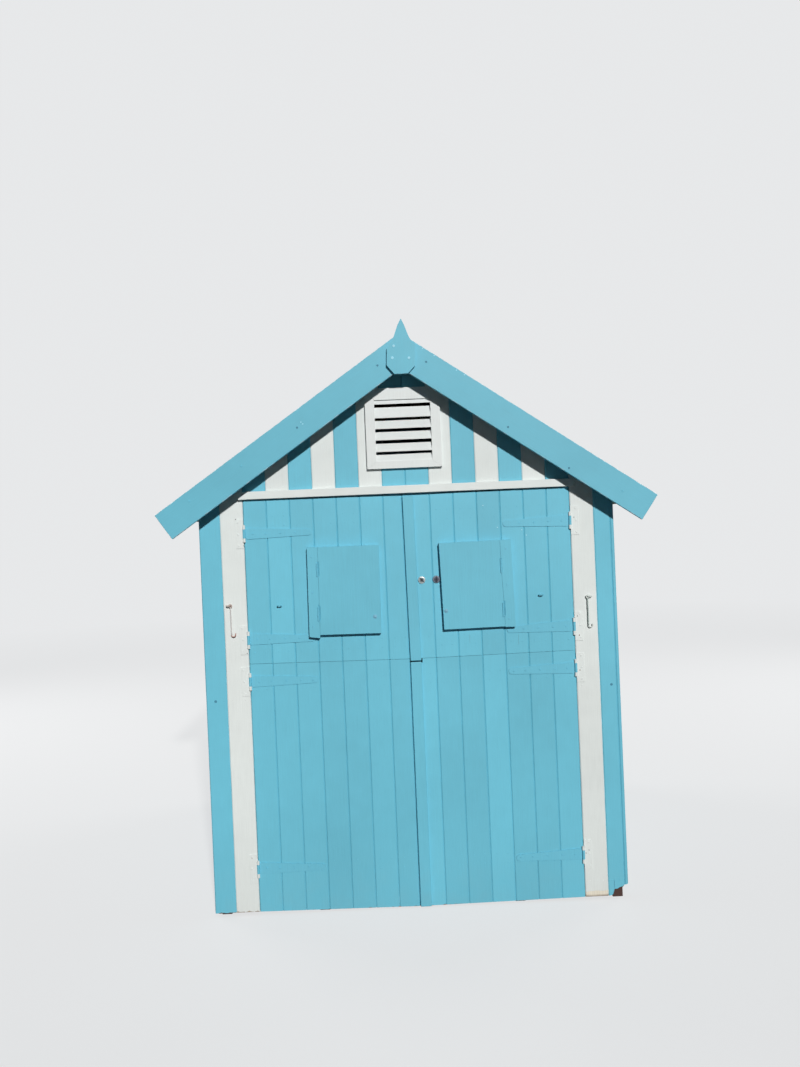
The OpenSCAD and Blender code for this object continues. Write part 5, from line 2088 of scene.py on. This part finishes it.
@dataclass
class Stage:
    """Pale floor, low sunlight from the right and soft fill, and the camera."""

    sunlight: Vector = field(default_factory=lambda: Vector((-0.207, 1.0, -0.42)))
    sun_strength: float = 3.15
    sky_strength: float = 0.04
    backdrop: Colour = (0.80, 0.81, 0.82, 1.0)
    floor_colour: Colour = (0.2, 0.2, 0.2, 1.0)
    floor_glow: float = 0.80
    floor_fades: Span = (3.0, 16.0)
    floor_half: float = 60.0
    sun_spread: float = math.radians(2.0)
    sun_colour: tuple[float, float, float] = (1.0, 0.985, 0.96)
    sky_colour: Colour = (0.75, 0.85, 1.0, 1.0)
    shade: Colour = (0.08, 0.08, 0.08, 1.0)
    soft_size: float = 4.0
    soft_aim: float = 1.2
    soft_at: Span = (4.5, 4.5)
    soft_lamps: tuple[tuple[str, float, float], ...] = (("left", -6.0, 290.0), ("right", 6.0, 240.0))
    camera_at: tuple[float, float, float] = (-0.07868, -5.67407, 1.70256)

    def build(self) -> None:
        """Build the floor, the lamps, the world and the camera."""
        self._floor()
        self._lamps()
        self._world()
        self._camera()
        scene = bpy.context.scene
        scene.view_settings.view_transform = "Standard"

    def _floor(self) -> None:
        """Lay the floor, which is pale to the camera and runs into the backdrop further off."""
        bm = bmesh.new()
        bmesh.ops.create_grid(bm, x_segments=1, y_segments=1, size=self.floor_half)
        mesh = bpy.data.meshes.new("floor")
        bm.to_mesh(mesh)
        bm.free()
        floor = linked(bpy.data.objects.new("floor", mesh))
        material = bpy.data.materials.new("floor")
        w = Wiring.emptied(material)
        pale = w.add("ShaderNodeBsdfDiffuse", {"Color": self.floor_colour})
        glow = w.add("ShaderNodeEmission", {"Color": self.backdrop, "Strength": self.floor_glow})
        lit = w.add("ShaderNodeAddShader", {0: pale.outputs[0], 1: glow.outputs[0]})
        far = w.add("ShaderNodeEmission", {"Color": self.backdrop})
        place = w.add("ShaderNodeTexCoord").outputs["Object"]
        reach = w.add("ShaderNodeVectorMath", {0: place}, operation="LENGTH").outputs["Value"]
        fading = w.add("ShaderNodeMixShader", {0: w.clamped(reach, *self.floor_fades), 1: lit.outputs[0],
                                               2: far.outputs[0]})
        dull = w.add("ShaderNodeBsdfDiffuse", {"Color": self.shade})
        seen = w.add("ShaderNodeMixShader", {0: self._seen(w), 1: dull.outputs[0], 2: fading.outputs[0]})
        w.add("ShaderNodeOutputMaterial", {"Surface": seen.outputs[0]})
        mesh.materials.append(material)

    def _seen(self, w: Wiring) -> Socket:
        """Return 1 for what the camera sees, also in a reflection, and 0 for light on its way."""
        rays = w.add("ShaderNodeLightPath").outputs
        mirrored = w.math("MAXIMUM", rays["Is Glossy Ray"], rays["Is Transmission Ray"])
        return w.math("MAXIMUM", rays["Is Camera Ray"], mirrored)

    def _lamps(self) -> None:
        """Set the key lamp, and two soft ones for the sides and the back."""
        key = bpy.data.lights.new("key", "SUN")
        key.energy = self.sun_strength
        key.angle = self.sun_spread
        key.color = self.sun_colour
        lamp = linked(bpy.data.objects.new("key", key))
        lamp.rotation_mode = "QUATERNION"
        lamp.rotation_quaternion = self.sunlight.to_track_quat("-Z", "Y")
        for word, x, power in self.soft_lamps:
            soft = bpy.data.lights.new(f"soft_{word}", "AREA")
            soft.energy = power
            soft.size = self.soft_size
            panel = linked(bpy.data.objects.new(f"soft_{word}", soft))
            panel.location = (x, *self.soft_at)
            panel.rotation_mode = "QUATERNION"
            aim = Vector((0, 0, self.soft_aim)) - panel.location
            panel.rotation_quaternion = aim.to_track_quat("-Z", "Y")

    def _world(self) -> None:
        """Make the world a pale backdrop to the camera and a dim sky to everything else."""
        world = bpy.data.worlds.new("studio")
        w = Wiring.emptied(world)
        seen = w.add("ShaderNodeBackground", {"Color": self.backdrop, "Strength": 1.0})
        sky = w.add("ShaderNodeBackground", {"Color": self.sky_colour, "Strength": self.sky_strength})
        mixed = w.add("ShaderNodeMixShader", {0: self._seen(w), 1: sky.outputs[0], 2: seen.outputs[0]})
        w.add("ShaderNodeOutputWorld", {"Surface": mixed.outputs[0]})
        bpy.context.scene.world = world

    def _camera(self) -> None:
        """Set the camera where the photo was taken, a little rolled."""
        lens = bpy.data.cameras.new("camera")
        lens.lens = 35.0
        lens.sensor_width = 36.0
        lens.sensor_fit = "AUTO"
        camera = linked(bpy.data.objects.new("camera", lens))
        right = Vector((0.99906181, -0.0100894, -0.04211532))
        up = Vector((0.04218192, 0.00648183, 0.99908892))
        ahead = Vector((0.00980722, 0.99992809, -0.00690134))
        turn = Matrix((right, up, -ahead)).transposed()
        camera.matrix_world = Matrix.Translation(self.camera_at) @ turn.to_4x4()
        bpy.context.scene.camera = camera


def main() -> None:
    """Build every sub-assembly round the frame."""
    logging.basicConfig(level=logging.INFO, format="%(name)s: %(message)s")
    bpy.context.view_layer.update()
    hut = Hut.read()
    for part in (Walls(hut), Front(hut), Vent(hut), Roof(hut), Framing(hut), Ironmongery(hut), Wear(hut)):
        LOG.info("%s: %d pieces", type(part).__name__, len(part.build()))
    for upper in (False, True):
        for side in (-1, 1):
            leaf = Leaf(hut, side, upper)
            LOG.info("%s: %d pieces", leaf.body, len(leaf.build()))
    Stage().build()


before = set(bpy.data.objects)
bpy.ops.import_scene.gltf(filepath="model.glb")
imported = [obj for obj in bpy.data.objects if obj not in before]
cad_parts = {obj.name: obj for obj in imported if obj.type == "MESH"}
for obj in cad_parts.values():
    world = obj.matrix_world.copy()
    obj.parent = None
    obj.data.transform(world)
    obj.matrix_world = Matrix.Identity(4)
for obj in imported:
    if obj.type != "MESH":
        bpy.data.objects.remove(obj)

if __name__ == "__main__":
    main()
